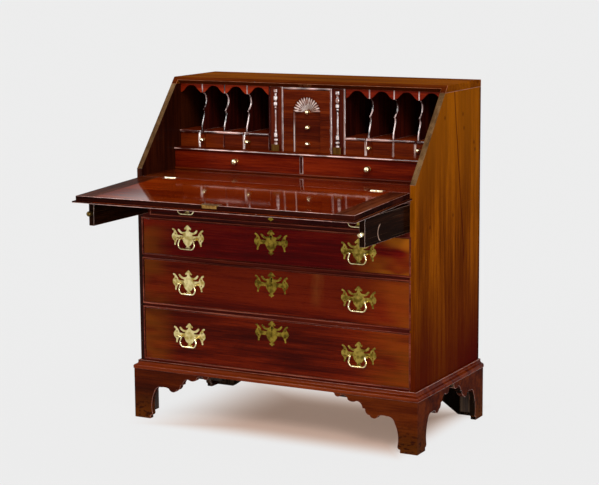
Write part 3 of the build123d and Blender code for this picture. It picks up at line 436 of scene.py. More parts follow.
# %% [markdown]
# ## Rounding a board
# A Bevel modifier or the shader's Bevel node would round an edge too. Here the bevel operator runs on a
# merged copy of the solid's mesh, because it says which faces it made, and these get the edge finish. The
# copy stays inside the solid's box, takes its place and rides on the same body.

# %% Rounding a board
edge_steps, crisp_angle, smooth_angle = 2, math.radians(30), math.radians(50)
merge_gap, flat_angle = 0.000002, math.radians(0.6)


def rounded_mesh(name, width, shortest):
    """A solid node's mesh, merged, with its crisp edges rounded and the rounds in the second material."""
    low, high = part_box(name)
    bm = bmesh.new()
    bm.from_mesh(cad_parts[name].data)
    bmesh.ops.remove_doubles(bm, verts=bm.verts, dist=merge_gap)
    bmesh.ops.dissolve_limit(bm, angle_limit=flat_angle, verts=bm.verts, edges=bm.edges)
    crisp = [e for e in bm.edges if e.is_manifold and e.calc_face_angle() > crisp_angle
             and e.calc_length() > shortest]
    rounds = bmesh.ops.bevel(bm, geom=crisp, offset=width, segments=edge_steps, profile=0.5, affect="EDGES",
                             clamp_overlap=True, material=-1)["faces"]
    for face in rounds:
        face.material_index = 1
    for v in bm.verts:
        v.co = [min(max(v.co[n], low[n]), high[n]) for n in range(3)]
    widths = [min(e.calc_length() for e in f.edges) for f in rounds]
    print(name, "rounded", len(rounds), "widest", round(1000 * max(widths, default=0), 2), "mm")
    return mesh_of("rubbed_" + name, bm)


def rubbed_copy(name, body, width, material, edge, shortest=0.0):
    """A copy of a solid node with its edges rounded, riding where the node rides."""
    mesh = rounded_mesh(name, width, shortest)
    for face in mesh.polygons:
        face.use_smooth = True
    mesh.set_sharp_from_angle(angle=smooth_angle)
    mesh.materials.append(material)
    mesh.materials.append(edge)
    piece = put("rubbed_" + name, mesh)
    flats = piece.modifiers.new("flat faces stay flat", "WEIGHTED_NORMAL")
    flats.keep_sharp = True
    flats.weight = 90
    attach(piece, body)
    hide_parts(name)
    return piece


print("edge steps", edge_steps)

# %% [markdown]
# ## The long drawers
# The drawer fronts are the darkest and reddest part of the desk: old polish over wide boards whose grain
# runs from side to side. Every front was cut from a different plank, so each gets its own seed. Towards the
# ends they are painted more orange in patches, a painted sheen of light on the polish, and the top front is
# painted darker, as painted shade under the open lid. The third front from the top has an upright curl in
# its grain, a little right of the middle.

# %% Drawer fronts
def ends_with_painted_sheen(start, end, share, curl=None):
    """Marks: a painted sheen, more orange, at the left end and from x = start to x = end, and an upright curl
    in the grain.
    """
    def marks(finish, colour):
        across = finish.axis("X")
        if curl:
            near = finish.away_from(across, curl)
            flame = finish.step(near + finish.grain("Z", 12, 26, 2, 90) * 0.05, 0.052, 0.016)
            upper = finish.step(finish.axis("Z"), 0.41, 0.48)
            colour = finish.mix(colour, tone(150, 80, 30), flame * upper * 0.55)
        # Painted sheen of light on the polish, orange in patches towards the ends.
        sheen_share = finish.step(across, start, end) * share
        left = finish.step(across, -0.34, -0.47) * 0.6
        patchy = finish.step(finish.grain("X", 5, 14, 2, 40), 0.3, 0.6)
        with_sheen = finish.mix(colour, tone(168, 92, 14), sheen_share * patchy)
        return finish.mix(with_sheen, tone(126, 64, 10), left * patchy)
    return marks


rows = ["bottom", "third", "second", "top"]
# The front edge's paler colour is partly wear and partly painted highlight.
front_edge = edge_wear_and_highlight("front edge", (168, 92, 62), rough=0.25, shine=0.3)
# The top front's darker colours are painted shade under the open lid.
front_woods = {"bottom": ((58, 8, 3), (90, 19, 4), (118, 32, 6), ends_with_painted_sheen(0.25, 0.5, 0.25)),
               "third": ((62, 8, 3), (94, 18, 4), (120, 32, 6), ends_with_painted_sheen(0.25, 0.5, 0.3, curl=0.16)),
               "second": ((74, 3, 3), (100, 6, 4), (124, 24, 5), ends_with_painted_sheen(0.24, 0.46, 1.0)),
               "top": ((46, 5, 3), (70, 11, 4), (94, 22, 6), None)}
for number, row in enumerate(rows):
    *colours, marks = front_woods[row]
    front = mahogany(row + " drawer front", "X", *colours, seed=11.0 * number + 2, polish=0.07, marks=marks,
                     spread=0.13)
    piece = rubbed_copy(row + "_drawer_front", row + "_drawer", width=0.0014, material=front, edge=warm_edge,
                        shortest=0.005)
    print(row, "eased faces", paint_faces(piece.data, front_edge, eased))

# %% [markdown]
# ## The sides
# The sides are browner than the fronts. They are painted lighter towards the top and darker and redder
# towards the floor and the rear, as painted light and shade. Their grain stands upright. The right side has
# one long crack along the grain, called a shake, and a few small knots. Both are painted into the wood with
# smooth steps of a distance, which stay sharp at any size.

# %% Marks in the sides
def light_above_shade_below(finish, colour):
    """Painted light and shade: redder and darker towards the floor and the rear, lighter and browner towards
    the top.
    """
    height = finish.axis("Z")
    rear = finish.step(finish.axis("Y"), 0.1, 0.42, 0.8, 1.0)
    low = finish.mix(colour, tone(70, 6, 3), finish.step(height, 0.66, 0.18) * rear)
    return finish.mix(low, tone(156, 88, 6), finish.step(height, 0.6, 1.05) * 0.45)


def side_marks(finish, colour):
    """The painted light and shade, one long shake, a dark rear edge and a few small knots in the right side.
    """
    colour = light_above_shade_below(finish, colour)
    height, depth = finish.axis("Z"), finish.axis("Y")
    wander = finish.grain("Z", 9, 9, 2, 50) * 0.012
    shake = finish.away_from(depth + height * shake_lean + wander, shake_at)
    upper = finish.step(height, 0.5, 0.56)
    colour = finish.mix(colour, tone(64, 10, 4), finish.step(shake, 0.0044, 0.0016) * upper * 0.85)
    colour = finish.mix(colour, tone(40, 14, 6), finish.step(depth, 0.42, 0.438) * 0.7)
    for y, z in knots:
        reach = finish.way_from((0, y, z), knot_scales)
        colour = finish.mix(colour, tone(52, 14, 4), finish.step(reach, 0.62, 0.2) * 0.8)
    return colour


shake_lean, shake_at = 0.16, 0.407
knots = [(0.1551, 1.0097), (0.2962, 1.0098), (0.3051, 0.9649), (0.3878, 0.9123), (0.3967, 0.8889),
         (0.2223, 0.6992), (0.0458, 0.6849)]
knot_scales = (0, 110, 66)
print("knots", len(knots))

# %% [markdown]
# The inner faces of the sides are painted dark, as painted shade inside the case, and so is the left side's
# front edge. The slope that carries the closed lid is dry and worn grey.

# %% Sides
half_inside = 0.4765


def inside_case(corners, normal):
    """Whether a face lies on the inner side of a case side."""
    return max(abs(v.x) for v in corners) < half_inside + 0.0005


def on_slope(corners, normal):
    """Whether a face looks forward and up, as the slope for the lid does."""
    return normal.y < -0.3 and normal.z > 0.3


# Painted shade on the inner faces of the sides and on the left side's front edge.
inner_shade_wood = mahogany("inner faces", "Z", (30, 8, 4), (48, 15, 6), (68, 26, 8), seed=3, polish=0.1)
# The case edge's paler colour is partly wear and partly painted highlight.
case_edge = edge_wear_and_highlight("case edge", (184, 108, 66), rough=0.3, shine=0.12)
slope_wood = mahogany("worn slope", "Z", (64, 42, 22), (98, 70, 42), (130, 98, 64), seed=39, gloss=0.4,
                      polish=0.05)
for number, (name, marks) in enumerate([("left_side", light_above_shade_below), ("right_side", side_marks)]):
    wood = mahogany(name.replace("_", " "), "Z", (84, 34, 2), (118, 56, 3), (152, 80, 5),
                    seed=20.0 * number + 1, gloss=0.4, polish=0.015, marks=marks, spread=0.13)
    side = rubbed_copy(name, "case", width=0.0016, material=wood, edge=case_edge)
    paint_faces(side.data, slope_wood, on_slope)
    if name == "left_side":
        paint_faces(side.data, inner_shade_wood, faces_front)
    print(name, "inner faces", paint_faces(side.data, inner_shade_wood, inside_case))

# %% [markdown]
# ## Top, blades and beads
# On the top board and the blades, the thin rails between the drawers, the grain runs across. The top is
# browner and lighter than the fronts, and its front edge is darker and redder. A cockbead is a thin rounded
# strip let in round each drawer opening. It stands proud, and its paler colour is partly wear and partly a
# painted highlight on its round.

# %% Top, blades and beads
top_wood = mahogany("top", "X", (82, 36, 2), (116, 56, 3), (148, 80, 6), seed=5, gloss=0.4, polish=0.012)
top_board = rubbed_copy("top_board", "case", width=0.0014, material=top_wood, edge=case_edge)
top_front = mahogany("top front", "X", (60, 18, 3), (90, 34, 5), (114, 50, 8), seed=27, gloss=0.4,
                     polish=0.01)
count = paint_faces(top_board.data, top_front, lambda corners, normal: normal.y < -0.3, flats_only=True)
print("top front faces", count)
blade_wood = mahogany("blades", "X", (50, 8, 3), (80, 17, 5), (106, 32, 8), seed=6)
dress(["drawer_blades"], blade_wood)
# The beads' paler colour is partly wear and partly painted highlight.
dress(["cockbeads"], mahogany("beads", "X", (70, 16, 8), (118, 46, 28), (168, 90, 66), seed=16, gloss=0.25,
                              polish=0.16))
dress(["loper_dividers"], mahogany("dividers", "Z", (40, 8, 3), (64, 16, 5), (90, 30, 8), seed=7))

# %% [markdown]
# ## Base moulding and feet
# The moulding hides the joint of case and base and catches a line of light along its ogee, the double curve
# of its section; its rounds are also painted pale, partly wear and partly painted highlight. The feet under
# it are dark and knocked about by brooms and shoes. A rear foot is dressed only outside: the bracket behind
# it is rough wood that was never polished, painted very dark as painted shade.

# %% Base moulding and feet
def foot_marks(finish, colour):
    """Knocks and stains low on the feet, which brooms and shoes have met for years."""
    height = finish.axis("Z")
    stains = finish.step(finish.cloud((60, 60, 120), 3, 70), 0.5, 0.64) * finish.step(height, 0.13, 0.02)
    worn = finish.mix(colour, tone(84, 44, 6), finish.step(height, 0.12, 0.0) * 0.6)
    return finish.mix(worn, tone(34, 6, 3), stains * 0.8)


half_between_feet = 0.46
moulding_wood = mahogany("base moulding", "X", (60, 12, 4), (98, 30, 6), (130, 52, 12), seed=8, gloss=0.25,
                         polish=0.12)
# The moulding edge's pale colour is partly wear and partly painted highlight.
moulding_edge = edge_wear_and_highlight("moulding edge", (196, 130, 112))
rubbed_copy("base_moulding", "case", width=0.0008, material=moulding_wood, edge=moulding_edge, shortest=0.05)
foot_wood = mahogany("feet", "X", (44, 10, 4), (72, 22, 4), (98, 38, 7), seed=9, polish=0.05,
                     marks=foot_marks)
rubbed_copy("front_feet", "case", width=0.0012, material=foot_wood, edge=warm_edge)
rear_feet = rubbed_copy("rear_feet", "case", width=0.0012, material=foot_wood, edge=warm_edge)
# Painted shade: the rough bracket behind the rear feet is painted very dark.
rough_shade_back = mahogany("rough bracket", "Z", (12, 6, 4), (30, 20, 14), (150, 116, 90), seed=41, gloss=0.5,
                      polish=0.0, spread=0.3)
count = paint_faces(rear_feet.data, rough_shade_back, lambda corners, normal: abs(normal.y) > square_on
                    or max(abs(v.x) for v in corners) < half_between_feet)
print("rough bracket faces", count)

# %% [markdown]
# ## The lid
# The lid is a wide panel with its grain from side to side and a narrow batten across each end, whose grain
# runs the other way. Its inner face has the best polish of the desk and mirrors the small drawers. Its
# outer face, seen when the desk is closed, is as red as the drawer fronts. Its rim is painted nearly black,
# as painted shade, and its rounded lips are painted pale, partly wear and partly painted highlight.

# %% Lid
def lid_polish(finish):
    """Elbows have dulled the left end, and cloths have kept the middle bright."""
    patches = finish.step(finish.grain("X", 3, 12, 2, 80), 0.3, 0.7, 0.8, 1.0)
    return finish.step(finish.axis("X"), -0.46, -0.16, 0.14, 0.95) * patches


outward = 0.6


def lid_outside(corners, normal):
    """Whether a face of the open lid looks down, which is outwards when it is closed."""
    return normal.z < -outward


def lid_rim(corners, normal):
    """Whether a face belongs to the rim round the lid."""
    return 0 < normal.length and abs(normal.z) < outward


# Painted highlight along the lid's rounded lips, over their wear.
lid_edge = edge_wear_and_highlight("lid edge", (226, 164, 148), rough=0.14)
# Painted shade: the lid's rim is painted nearly black.
rim_shade_wood = mahogany("lid rim", "X", (18, 5, 3), (34, 9, 5), (60, 20, 12), seed=17, polish=0.02)
board_wood = mahogany("writing board", "X", (66, 14, 3), (98, 32, 7), (122, 50, 14), seed=14, gloss=0.1,
                      polish=0.5, specular=0.25)
panel_top = mahogany("lid panel", "X", (80, 12, 1), (116, 34, 3), (144, 54, 8), seed=12, gloss=0.1,
                     polish=lid_polish)
batten_wood = mahogany("lid battens", "Y", (36, 10, 4), (70, 26, 10), (104, 50, 26), seed=13, polish=0.1)
panel_outside = mahogany("lid outside", "X", (62, 10, 3), (94, 24, 5), (124, 42, 8), seed=18, polish=0.06)
batten_outside = mahogany("batten outside", "Y", (50, 9, 3), (80, 20, 5), (108, 36, 9), seed=19, polish=0.06)
for name, inside, outside in (("lid_panel", panel_top, panel_outside),
                              ("lid_end_battens", batten_wood, batten_outside)):
    piece = rubbed_copy(name, "lid", width=0.0016, material=inside, edge=lid_edge, shortest=0.012)
    counts = [paint_faces(piece.data, outside, lid_outside, flats_only=True),
              paint_faces(piece.data, rim_shade_wood, lid_rim, flats_only=True),
              paint_faces(piece.data, lid_edge, eased)]
    print(name, "outside, rim and eased faces", counts)
piece = rubbed_copy("writing_board", "case", width=0.0012, material=board_wood, edge=lid_edge, shortest=0.012)
print("writing board eased faces", paint_faces(piece.data, lid_edge, eased))

# %% [markdown]
# ## The lopers
# The lopers are the two bars that slide out to carry the open lid. Sliding has scored them lengthwise, and
# something has cut one deep curved scratch near the front of the right one. The scratch is the part of a
# ring near its front end: a distance from a centre, minus the ring's radius.

# %% Lopers
def loper_marks(finish, colour):
    """Fine scores from sliding, and one deep curved scratch near the front of the right loper."""
    scores = finish.step(finish.grain("Y", 4, 700, 2, 60), 0.66, 0.76)
    colour = finish.mix(colour, tone(104, 74, 52), scores * 0.5)
    ring = finish.away_from(finish.way_from((0, *scratch_centre), (0, 1, 1)), scratch_radius)
    near = finish.step(finish.axis("Y"), scratch_centre[0] - 0.006, scratch_centre[0] - 0.016)
    outer = finish.axis("X") > right_loper_face
    return finish.mix(colour, tone(196, 158, 138), finish.step(ring, 0.0022, 0.0008) * near * outer)


scratch_centre, scratch_radius = (-0.2537, 0.7139), 0.026
right_loper_face = 0.47
loper_wood = mahogany("lopers", "Y", (16, 5, 2), (32, 13, 5), (58, 28, 13), seed=15, polish=0.03,
                      marks=loper_marks)
# The loper edge's pale colour is partly wear and partly painted highlight.
loper_edge = edge_wear_and_highlight("loper edge", (170, 128, 108), rough=0.25, shine=0.3)
for name in ("left_loper", "right_loper"):
    piece = rubbed_copy(name, name, width=0.0014, material=loper_wood, edge=loper_edge, shortest=0.012)
    print(name, "eased faces", paint_faces(piece.data, loper_edge, eased))

# %% [markdown]
# ## The small drawers
# Small drawers and pigeonholes stand at the back of the writing board, in a gallery. Their wood was hardly
# ever in the sun and kept its red. Each small front gets its own seed, as each was cut from its own piece.

# %% Small drawers
reds = ((68, 8, 3), (102, 22, 5), (136, 40, 10))
browns = ((64, 12, 2), (94, 28, 5), (124, 46, 10))
long_drawers = [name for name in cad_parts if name.endswith("_long_inner_drawer")]
small_drawers = [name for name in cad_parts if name.endswith("_small_drawer")]
centre_drawers = [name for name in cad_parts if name.startswith("centre_")]
document_drawers = [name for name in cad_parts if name.endswith("_document_drawer")]
for number, name in enumerate(long_drawers + small_drawers + centre_drawers):
    shades = reds if name in long_drawers else browns
    dress([name], mahogany(name.replace("_", " "), "X", *shades, seed=3.0 * number + 22, gloss=0.25,
                           polish=0.06))
print("interior", len(long_drawers), len(small_drawers), len(centre_drawers), len(document_drawers))

# %% [markdown]
# ## The column drawers
# Beside the centre stand two tall thin document drawers, each with a turned half column on a square plinth.
# The column has the brightest polish of the gallery, and the crests of its turned rings are painted bright, a
# painted highlight. Column, plinth and crests are one solid with the drawer, so they are told apart by
# how far forward and how high they stand.

# %% Column drawers
def painted_highlight_patches(name, along, scale, dull, bright, seed=0.0):
    """A front edge painted bright in uneven patches, a painted highlight."""
    finish = Finish(bpy.data.materials.new(name))
    patches = finish.step(finish.grain(along, scale, 60, 2, seed), 0.4, 0.6)
    return finish.surface({"Base Color": finish.mix(tone(*dull), tone(*bright), patches), "Roughness": 0.22,
                           "Specular IOR Level": 0.5, "Coat Weight": 0.4, "Coat Roughness": 0.12})


front_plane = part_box("left_side")[0].y
gallery_front = front_plane + 0.24197
ledge_height = 0.876
plinth_top = ledge_height + 0.0222
hair, crest_proud = 0.0004, 0.001


def on_column(corners, normal):
    """Whether a face stands before the gallery's fronts and above the plinth."""
    return max(v.y for v in corners) < gallery_front - hair and min(v.z for v in corners) > plinth_top


def on_plinth(corners, normal):
    """Whether a face stands before the gallery's fronts and no higher than the plinth."""
    return (max(v.y for v in corners) < gallery_front - hair
            and max(v.z for v in corners) <= plinth_top + hair)


def on_crest(corners, normal):
    """Whether a face of the column looks forward, on a crest and not in the hollow between two rings."""
    return (max(v.y for v in corners) < gallery_front - crest_proud and on_column(corners, normal)
            and normal.y < -0.62 and abs(normal.z) < 0.35)


column_wood = mahogany("columns", "Z", (40, 12, 6), (74, 30, 18), (120, 66, 50), seed=33, gloss=0.12,
                       polish=1.0, specular=0.5)
# Painted highlight on the crests of the turned rings.
column_crest_highlight = painted_highlight_patches("column crests", "Z", 40, (176, 130, 116), (255, 240, 234), 68)
panel_wood = mahogany("column panels", "Z", *browns, seed=31, gloss=0.25, polish=0.12)
plinth_wood = mahogany("column plinths", "Z", (58, 34, 10), (88, 56, 16), (116, 80, 30), seed=37, polish=0.1)
for name in document_drawers:
    piece = rubbed_copy(name, name, width=0.0004, material=panel_wood, edge=warm_edge)
    counts = [paint_faces(piece.data, wood, chosen) for wood, chosen in
              ((column_wood, on_column), (plinth_wood, on_plinth), (column_crest_highlight, on_crest))]
    print(name, "column, plinth and crest faces", counts)

# %% [markdown]
# ## Shelves, partitions and dividers
# The thin front edges of the gallery's boards are painted bright in uneven patches, a painted highlight. The
# long partitions at the left get no such highlight and stay dark. A second patchy finish on the front faces
# alone does this; a dirt map baked from the geometry would put the brightness on every edge.

# %% Shelves, partitions and dividers
def shelf_edge(corners, normal):
    """Whether a face is on the rounded front of a shelf or of the ledge."""
    return (normal.y < -0.2 and abs(normal.z) < 0.98
            and max(v.z for v in corners) > ledge_height - 0.0035)


def partition_edge(corners, normal):
    """Whether a face looks forward, above the ledge."""
    return normal.y < -0.5 and min(v.z for v in corners) > ledge_height - 0.001


def unhighlighted_edge(corners, normal):
    """Whether a face looks forward at the left, where the partitions get no painted highlight."""
    return max(v.x for v in corners) < unhighlighted_until and normal.y < -0.1


unhighlighted_until = -0.12
dress(["gallery_shelves"], mahogany("shelves", "X", *browns, seed=21, gloss=0.28, polish=0.1))
# Painted highlights on the front edges of shelves, partitions and dividers.
shelf_front = painted_highlight_patches("shelf fronts", "X", 14, (70, 28, 22), (226, 176, 164), 61)
print("shelf fronts", paint_node("gallery_shelves", shelf_front, shelf_edge))
wall_wood = mahogany("partitions", "Z", (36, 8, 6), (60, 15, 10), (90, 28, 14), seed=24, gloss=0.25,
                     polish=0.1)
wall_front = painted_highlight_patches("partition fronts", "Z", 7, (84, 34, 26), (190, 140, 126), 63)
divider_front = painted_highlight_patches("divider fronts", "Z", 22, (30, 12, 10), (226, 196, 190), 65)
walls = rubbed_copy("gallery_partitions", "case", width=0.0013, material=wall_wood, edge=pale_edge)
counts = [paint_faces(walls.data, wall_front, partition_edge, flats_only=True),
          paint_faces(walls.data, wall_wood, unhighlighted_edge)]
dividers = rubbed_copy("pigeonhole_dividers", "case", width=0.0011, material=wall_wood, edge=pale_edge)
counts.append(paint_faces(dividers.data, divider_front, lambda corners, normal: normal.y < -0.2))
print("partition and divider fronts", counts)

# %% [markdown]
# ## Valances and niches
# Over each pigeonhole hangs a valance, a thin board with a shaped lower edge. The fronts of the centre
# drawers are hollowed into one tall niche, and each small drawer has a round flute in its middle. The left
# side of such a hollow turns its face to the light, and is painted bright as a painted highlight.

# %% Valances and niches
def lit_side(corners, normal):
    """Whether a face of a niche or a flute looks to the right and forward."""
    return (normal.x > 0.6 and abs(normal.z) < 0.5 and normal.y < 0
            and min(v.y for v in corners) < gallery_front + lit_depth)


lit_depth = 0.0095
dress(["valances"], mahogany("valances", "X", (88, 14, 4), (132, 32, 9), (168, 52, 18), seed=25))
# Painted highlight on the left side of each niche and flute.
lit_cove = painted_highlight_patches("niche edge", "Z", 10, (150, 96, 80), (255, 232, 222), 67)
for name in centre_drawers + small_drawers:
    print(name, "cove faces", paint_node(name, lit_cove, lit_side))

# %% [markdown]
# ## Pine
# The parts that never show are pine: drawer boxes, backs, runners. It has wider rings than mahogany and no
# pores, and nobody polished it, so it is rough and has no coat. Under the desk it is painted nearly black, as
# painted shade.

# %% Pine
def pine(name, along, dark, middle, light, seed=0.0, marks=None):
    """Old unpolished pine."""
    finish = Finish(bpy.data.materials.new(name))
    rings = finish.grain(along, 1.2, 60.0, 2.0, seed)
    threads = finish.grain(along, 8.0, 420.0, 2.0, seed + 2)
    figure = finish.step(rings * 0.7 + threads * 0.3, 0.35, 0.65)
    colour = finish.ramp(figure, dark, middle, light)
    if marks:
        colour = marks(finish, colour)
    skin = finish.bump(threads, 0.0003, 0.5)
    return finish.surface({"Base Color": colour, "Roughness": 0.62, "Normal": skin,
                           "Specular IOR Level": 0.2})


clean_pine = ((150, 104, 60), (186, 142, 92), (206, 168, 120))
brown_pine = ((96, 62, 34), (128, 88, 52), (152, 112, 72))
# Painted shade: the pine under the desk is painted nearly black.
shade_black_pine = ((26, 16, 11), (50, 34, 24), (84, 64, 46))
dress(["case_bottom"], pine("pine bottom", "X", *brown_pine, seed=1))
print("case bottom front faces", paint_node("case_bottom", blade_wood, faces_front))
dress(["foot_glue_blocks", "base_frame"], pine("pine underneath", "Z", *shade_black_pine, seed=2))
dress(["drawer_runners"], pine("pine runners", "Y", *brown_pine, seed=3))
dress([row + "_drawer_box" for row in rows], pine("pine boxes", "Y", *clean_pine, seed=5))

# %% [markdown]
# ## The back
# The back is four wide boards, nailed on. Every board has its own tone. The heads of the nails are a pattern
# in the wood: wrapping a distance at a fixed pitch repeats one spot along and up the boards. Discs would
# look the same, but would stand proud of the solid model's box.

# %% Back boards
def nail_heads(finish, colour):
    """Rusted nail heads at even steps along the boards, two to each board's height."""
    ways = []
    for letter, first, pitch in (("X", nail_pitch / 2, nail_pitch),
                                 ("Z", back_low.z + back_pitch / 4, back_pitch / 2)):
        ways.append(finish.node("Math", {"operation": "WRAP"}, {0: finish.axis(letter) - first, 1: pitch / 2,
                                                                2: -pitch / 2}))
    reach = finish.length(finish.node("CombineXYZ", None, {0: ways[0], 1: ways[1]}))
    return finish.mix(colour, tone(36, 20, 12), finish.step(reach, 0.0034, 0.0026) * 0.9)


back_low, back_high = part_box("back_boards")
back_count = 4
back_pitch = (back_high.z - back_low.z) / back_count
nail_pitch = 0.31
joint_slack = 0.1
darker_step, darkest = 0.11, 0.25
dress(["back_boards"], pine("pine back", "X", *brown_pine, seed=4, marks=nail_heads))
for number in range(1, back_count):
    darker = darker_step * number % darkest
    shades = [[channel * (1 - darker) for channel in shade] for shade in brown_pine]
    wood = pine("pine back %d" % number, "X", *shades, seed=4 + 7 * number, marks=nail_heads)
    count = paint_node("back_boards", wood, lambda corners, normal:
                       min(v.z for v in corners) > back_low.z + back_pitch * (number - joint_slack)
                       and max(v.z for v in corners) < back_low.z + back_pitch * (number + 1 + joint_slack))
    print("back board", number, "faces", count)

# %% [markdown]
# ## Brass
# Cast brass goes dull and olive in its hollows and stays bright where hands rub it. A metal takes its colour
# from Base Color and shows what stands in front of it, so the pale floor is what makes it shine. The thin
# sides of the pierced plates are painted brighter, a painted highlight that outlines their scrolls, and the
# plates at the left are painted brightest, as painted light.

# %% Brass
def metal(finish, colour, patches, specks, rough):
    """Ends a metal: smoother in the patches that are rubbed, and finely pitted."""
    return finish.surface({"Base Color": colour, "Metallic": 1.0, "Normal": finish.bump(specks, 0.0001, 0.6),
                           "Roughness": finish.step(patches, 0.3, 0.7, rough + 0.08, rough - 0.08)})


def brass(name, dull, bright, rough=0.3, seed=0.0):
    """Old brass: bright where it is rubbed, dull elsewhere."""
    finish = Finish(bpy.data.materials.new(name))
    patches = finish.cloud((110.0, 110.0, 110.0), 3.0, seed)
    specks = finish.cloud((900.0, 900.0, 900.0), 2.0, seed + 2)
    worn = finish.step(patches * 0.7 + specks * 0.3, 0.38, 0.6)
    return metal(finish, finish.mix(tone(*dull), tone(*bright), worn), patches, specks, rough)


def plate_finish():
    """One finish for all plates: handles brighter than keyhole plates, and the left ones painted brightest,
    as painted light.
    """
    finish = Finish(bpy.data.materials.new("plate brass"))
    across = finish.axis("X")
    patches = finish.cloud((75.0, 75.0, 75.0), 2.0, 1)
    specks = finish.cloud((900.0, 900.0, 900.0), 2.0, 3)
    worn = finish.step(patches * 0.8 + specks * 0.2, 0.3, 0.7)
    middle = finish.mix(tone(70, 54, 12), tone(150, 126, 46), worn)
    # Painted light: the plates at the left are painted brightest.
    left = finish.mix(tone(164, 140, 66), tone(236, 220, 160), worn)
    right = finish.mix(tone(88, 70, 18), tone(170, 146, 66), worn)
    colour = finish.mix(finish.mix(middle, left, across < -keyhole_reach), right, across > keyhole_reach)
    return metal(finish, colour, patches, specks, rough=0.34)


def plate_side(corners, normal):
    """Whether a face is on the side of a plate or a post, and not on a nut behind the drawer front."""
    return abs(normal.y) < 0.5 and max(v.y for v in corners) < front_plane + front_part


keyhole_reach, front_part = 0.15, 0.002
plate_metal = plate_finish()
# Painted highlight on the thin sides of the plates.
plate_rim_highlight = brass("plate rim", (176, 150, 70), (250, 238, 190), rough=0.22, seed=6)
bail_brass = brass("bail brass", (188, 166, 108), (240, 228, 182), rough=0.24, seed=2)
for row in rows:
    dress([row + "_drawer_brasses"], plate_metal)
    dress([row + "_drawer_left_bail", row + "_drawer_right_bail"], bail_brass)
    print(row, "plate side faces", paint_node(row + "_drawer_brasses", plate_rim_highlight, plate_side))

# %% [markdown]
# ## Hinges, lock and knobs
# The hinge leaves are rubbed by papers, the lock has turned brown, and the left loper's knob is painted
# nearly black, as painted shade. The knob of a small drawer is one solid with its front, so its faces are
# found by how close they lie to the knob's axis.

# %% Hinges, lock and knobs
knob_brass = brass("knob brass", (206, 184, 134), (244, 232, 196), rough=0.22, seed=3)
hinge_brass = brass("hinge brass", (176, 154, 118), (238, 224, 200), rough=0.28, seed=4)
lock_brass = brass("lock brass", (110, 70, 30), (170, 130, 70), seed=5)
dress(["lid_hinge_leaves", "hinge_case_leaves"], hinge_brass)
dress(["lid_lock", "lock_strike"], lock_brass)
# Painted shade: the left loper's knob is painted nearly black.
dress(["left_loper_knob"], brass("dull knob brass", (48, 34, 14), (92, 72, 34), rough=0.4, seed=9))
dress(["right_loper_knob"], knob_brass)


def paint_knob(name, radius, height=None):
    """The knob of an interior drawer is the part of its solid close round the knob's axis."""
    low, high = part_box(name)
    x = (low.x + high.x) / 2
    z = height or (low.z + high.z) / 2
    count = paint_node(name, knob_brass,
                       lambda corners, normal: max(math.hypot(v.x - x, v.z - z) for v in corners) < radius)
    print(name, "knob faces", count)


long_knob, small_knob = 0.0108, 0.0077
fan_centre_height = 1.006
for name in long_drawers:
    paint_knob(name, long_knob)
for name in small_drawers + centre_drawers:
    paint_knob(name, small_knob, fan_centre_height if name == "centre_carved_drawer" else None)

# %% [markdown]
# ## The carved fan
# Over the small centre drawers a half-round hollow is carved into a fan: fifteen ribs, like petals, that
# spread from the knob and end in a scalloped rim. It could be one displaced disc, but a rib is a clean form
# of its own. Here a sphere is stretched into one petal, its points are moved so that it narrows towards the
# knob and bends a little, and spin copies it round the half circle.

# %% Fan
rib_count = 15
rib_from, rib_to = 0.0075, 0.0492
rib_fill, rib_bend, rib_height = 0.97, 0.16, 0.0042
hollow_from, hollow_to = 0.008, 0.0495
hollow_deep, hollow_shallow = 0.256, 0.246
hollow_rise = (hollow_shallow - hollow_deep) / (hollow_to - hollow_from)


def carve_fan():
    """The fan's ribs as one mesh, standing in the hollow."""
    bm = bmesh.new()
    turn = math.pi / rib_count
    bmesh.ops.create_uvsphere(bm, u_segments=20, v_segments=18, radius=1)
    for v in bm.verts:
        share = (v.co.z + 1) / 2
        out = rib_from + (rib_to - rib_from) * share
        half_width = out * math.tan(turn / 2) * rib_fill
        lean = rib_bend * math.sin(math.pi * share)
        angle = math.pi / 2 - turn / 2 - lean * turn + v.co.x * half_width / out
        floor_depth = front_plane + hollow_deep + hollow_rise * (out - hollow_from)
        raised = v.co.y * rib_height * (0.35 + 0.65 * share)
        v.co = Vector((out * math.sin(angle), floor_depth + raised, out * math.cos(angle)))
    bmesh.ops.translate(bm, verts=bm.verts, vec=(0, 0, fan_centre_height))
    bmesh.ops.spin(bm, geom=bm.verts[:] + bm.edges[:] + bm.faces[:], cent=(0, 0, fan_centre_height),
                   axis=(0, 1, 0), angle=-turn * (rib_count - 1), steps=rib_count - 1, use_duplicate=True)
    bmesh.ops.recalc_face_normals(bm, faces=bm.faces)
    mesh = mesh_of("carved_fan", bm)
    for face in mesh.polygons:
        face.use_smooth = True
    return mesh


def rib_top(corners, normal):
    """Whether a face is on the crest of a rib, or on its side towards the light."""
    return normal.y < -0.72 and normal.x > -0.5


# Painted shade and highlight: the fan's wood is painted dark and the crests of its ribs bright.
fan = put("carved_fan", carve_fan())
fan.data.materials.append(mahogany("carved fan", "Z", (26, 8, 4), (52, 20, 11), (84, 42, 28), seed=35,
                                   gloss=0.14, polish=0.6, specular=0.3))
rib_crest_highlight = painted_highlight_patches("rib crests", "Z", 60, (190, 146, 130), (250, 226, 216), 69)
print("rib crests", paint_faces(fan.data, rib_crest_highlight, rib_top))
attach(fan, "centre_carved_drawer")

# %% [markdown]
# ## Screws
# The smallest fittings are left out of a solid model, and they make a close view believable. A slotted
# screw in a hinge leaf is flush, so a flat disc is enough, with a dark bar across it as the painted shade
# of its slot. Both lie a hair above what is under them, so that they don't flicker. Real slots are never
# lined up, so each screw is turned by its own angle.

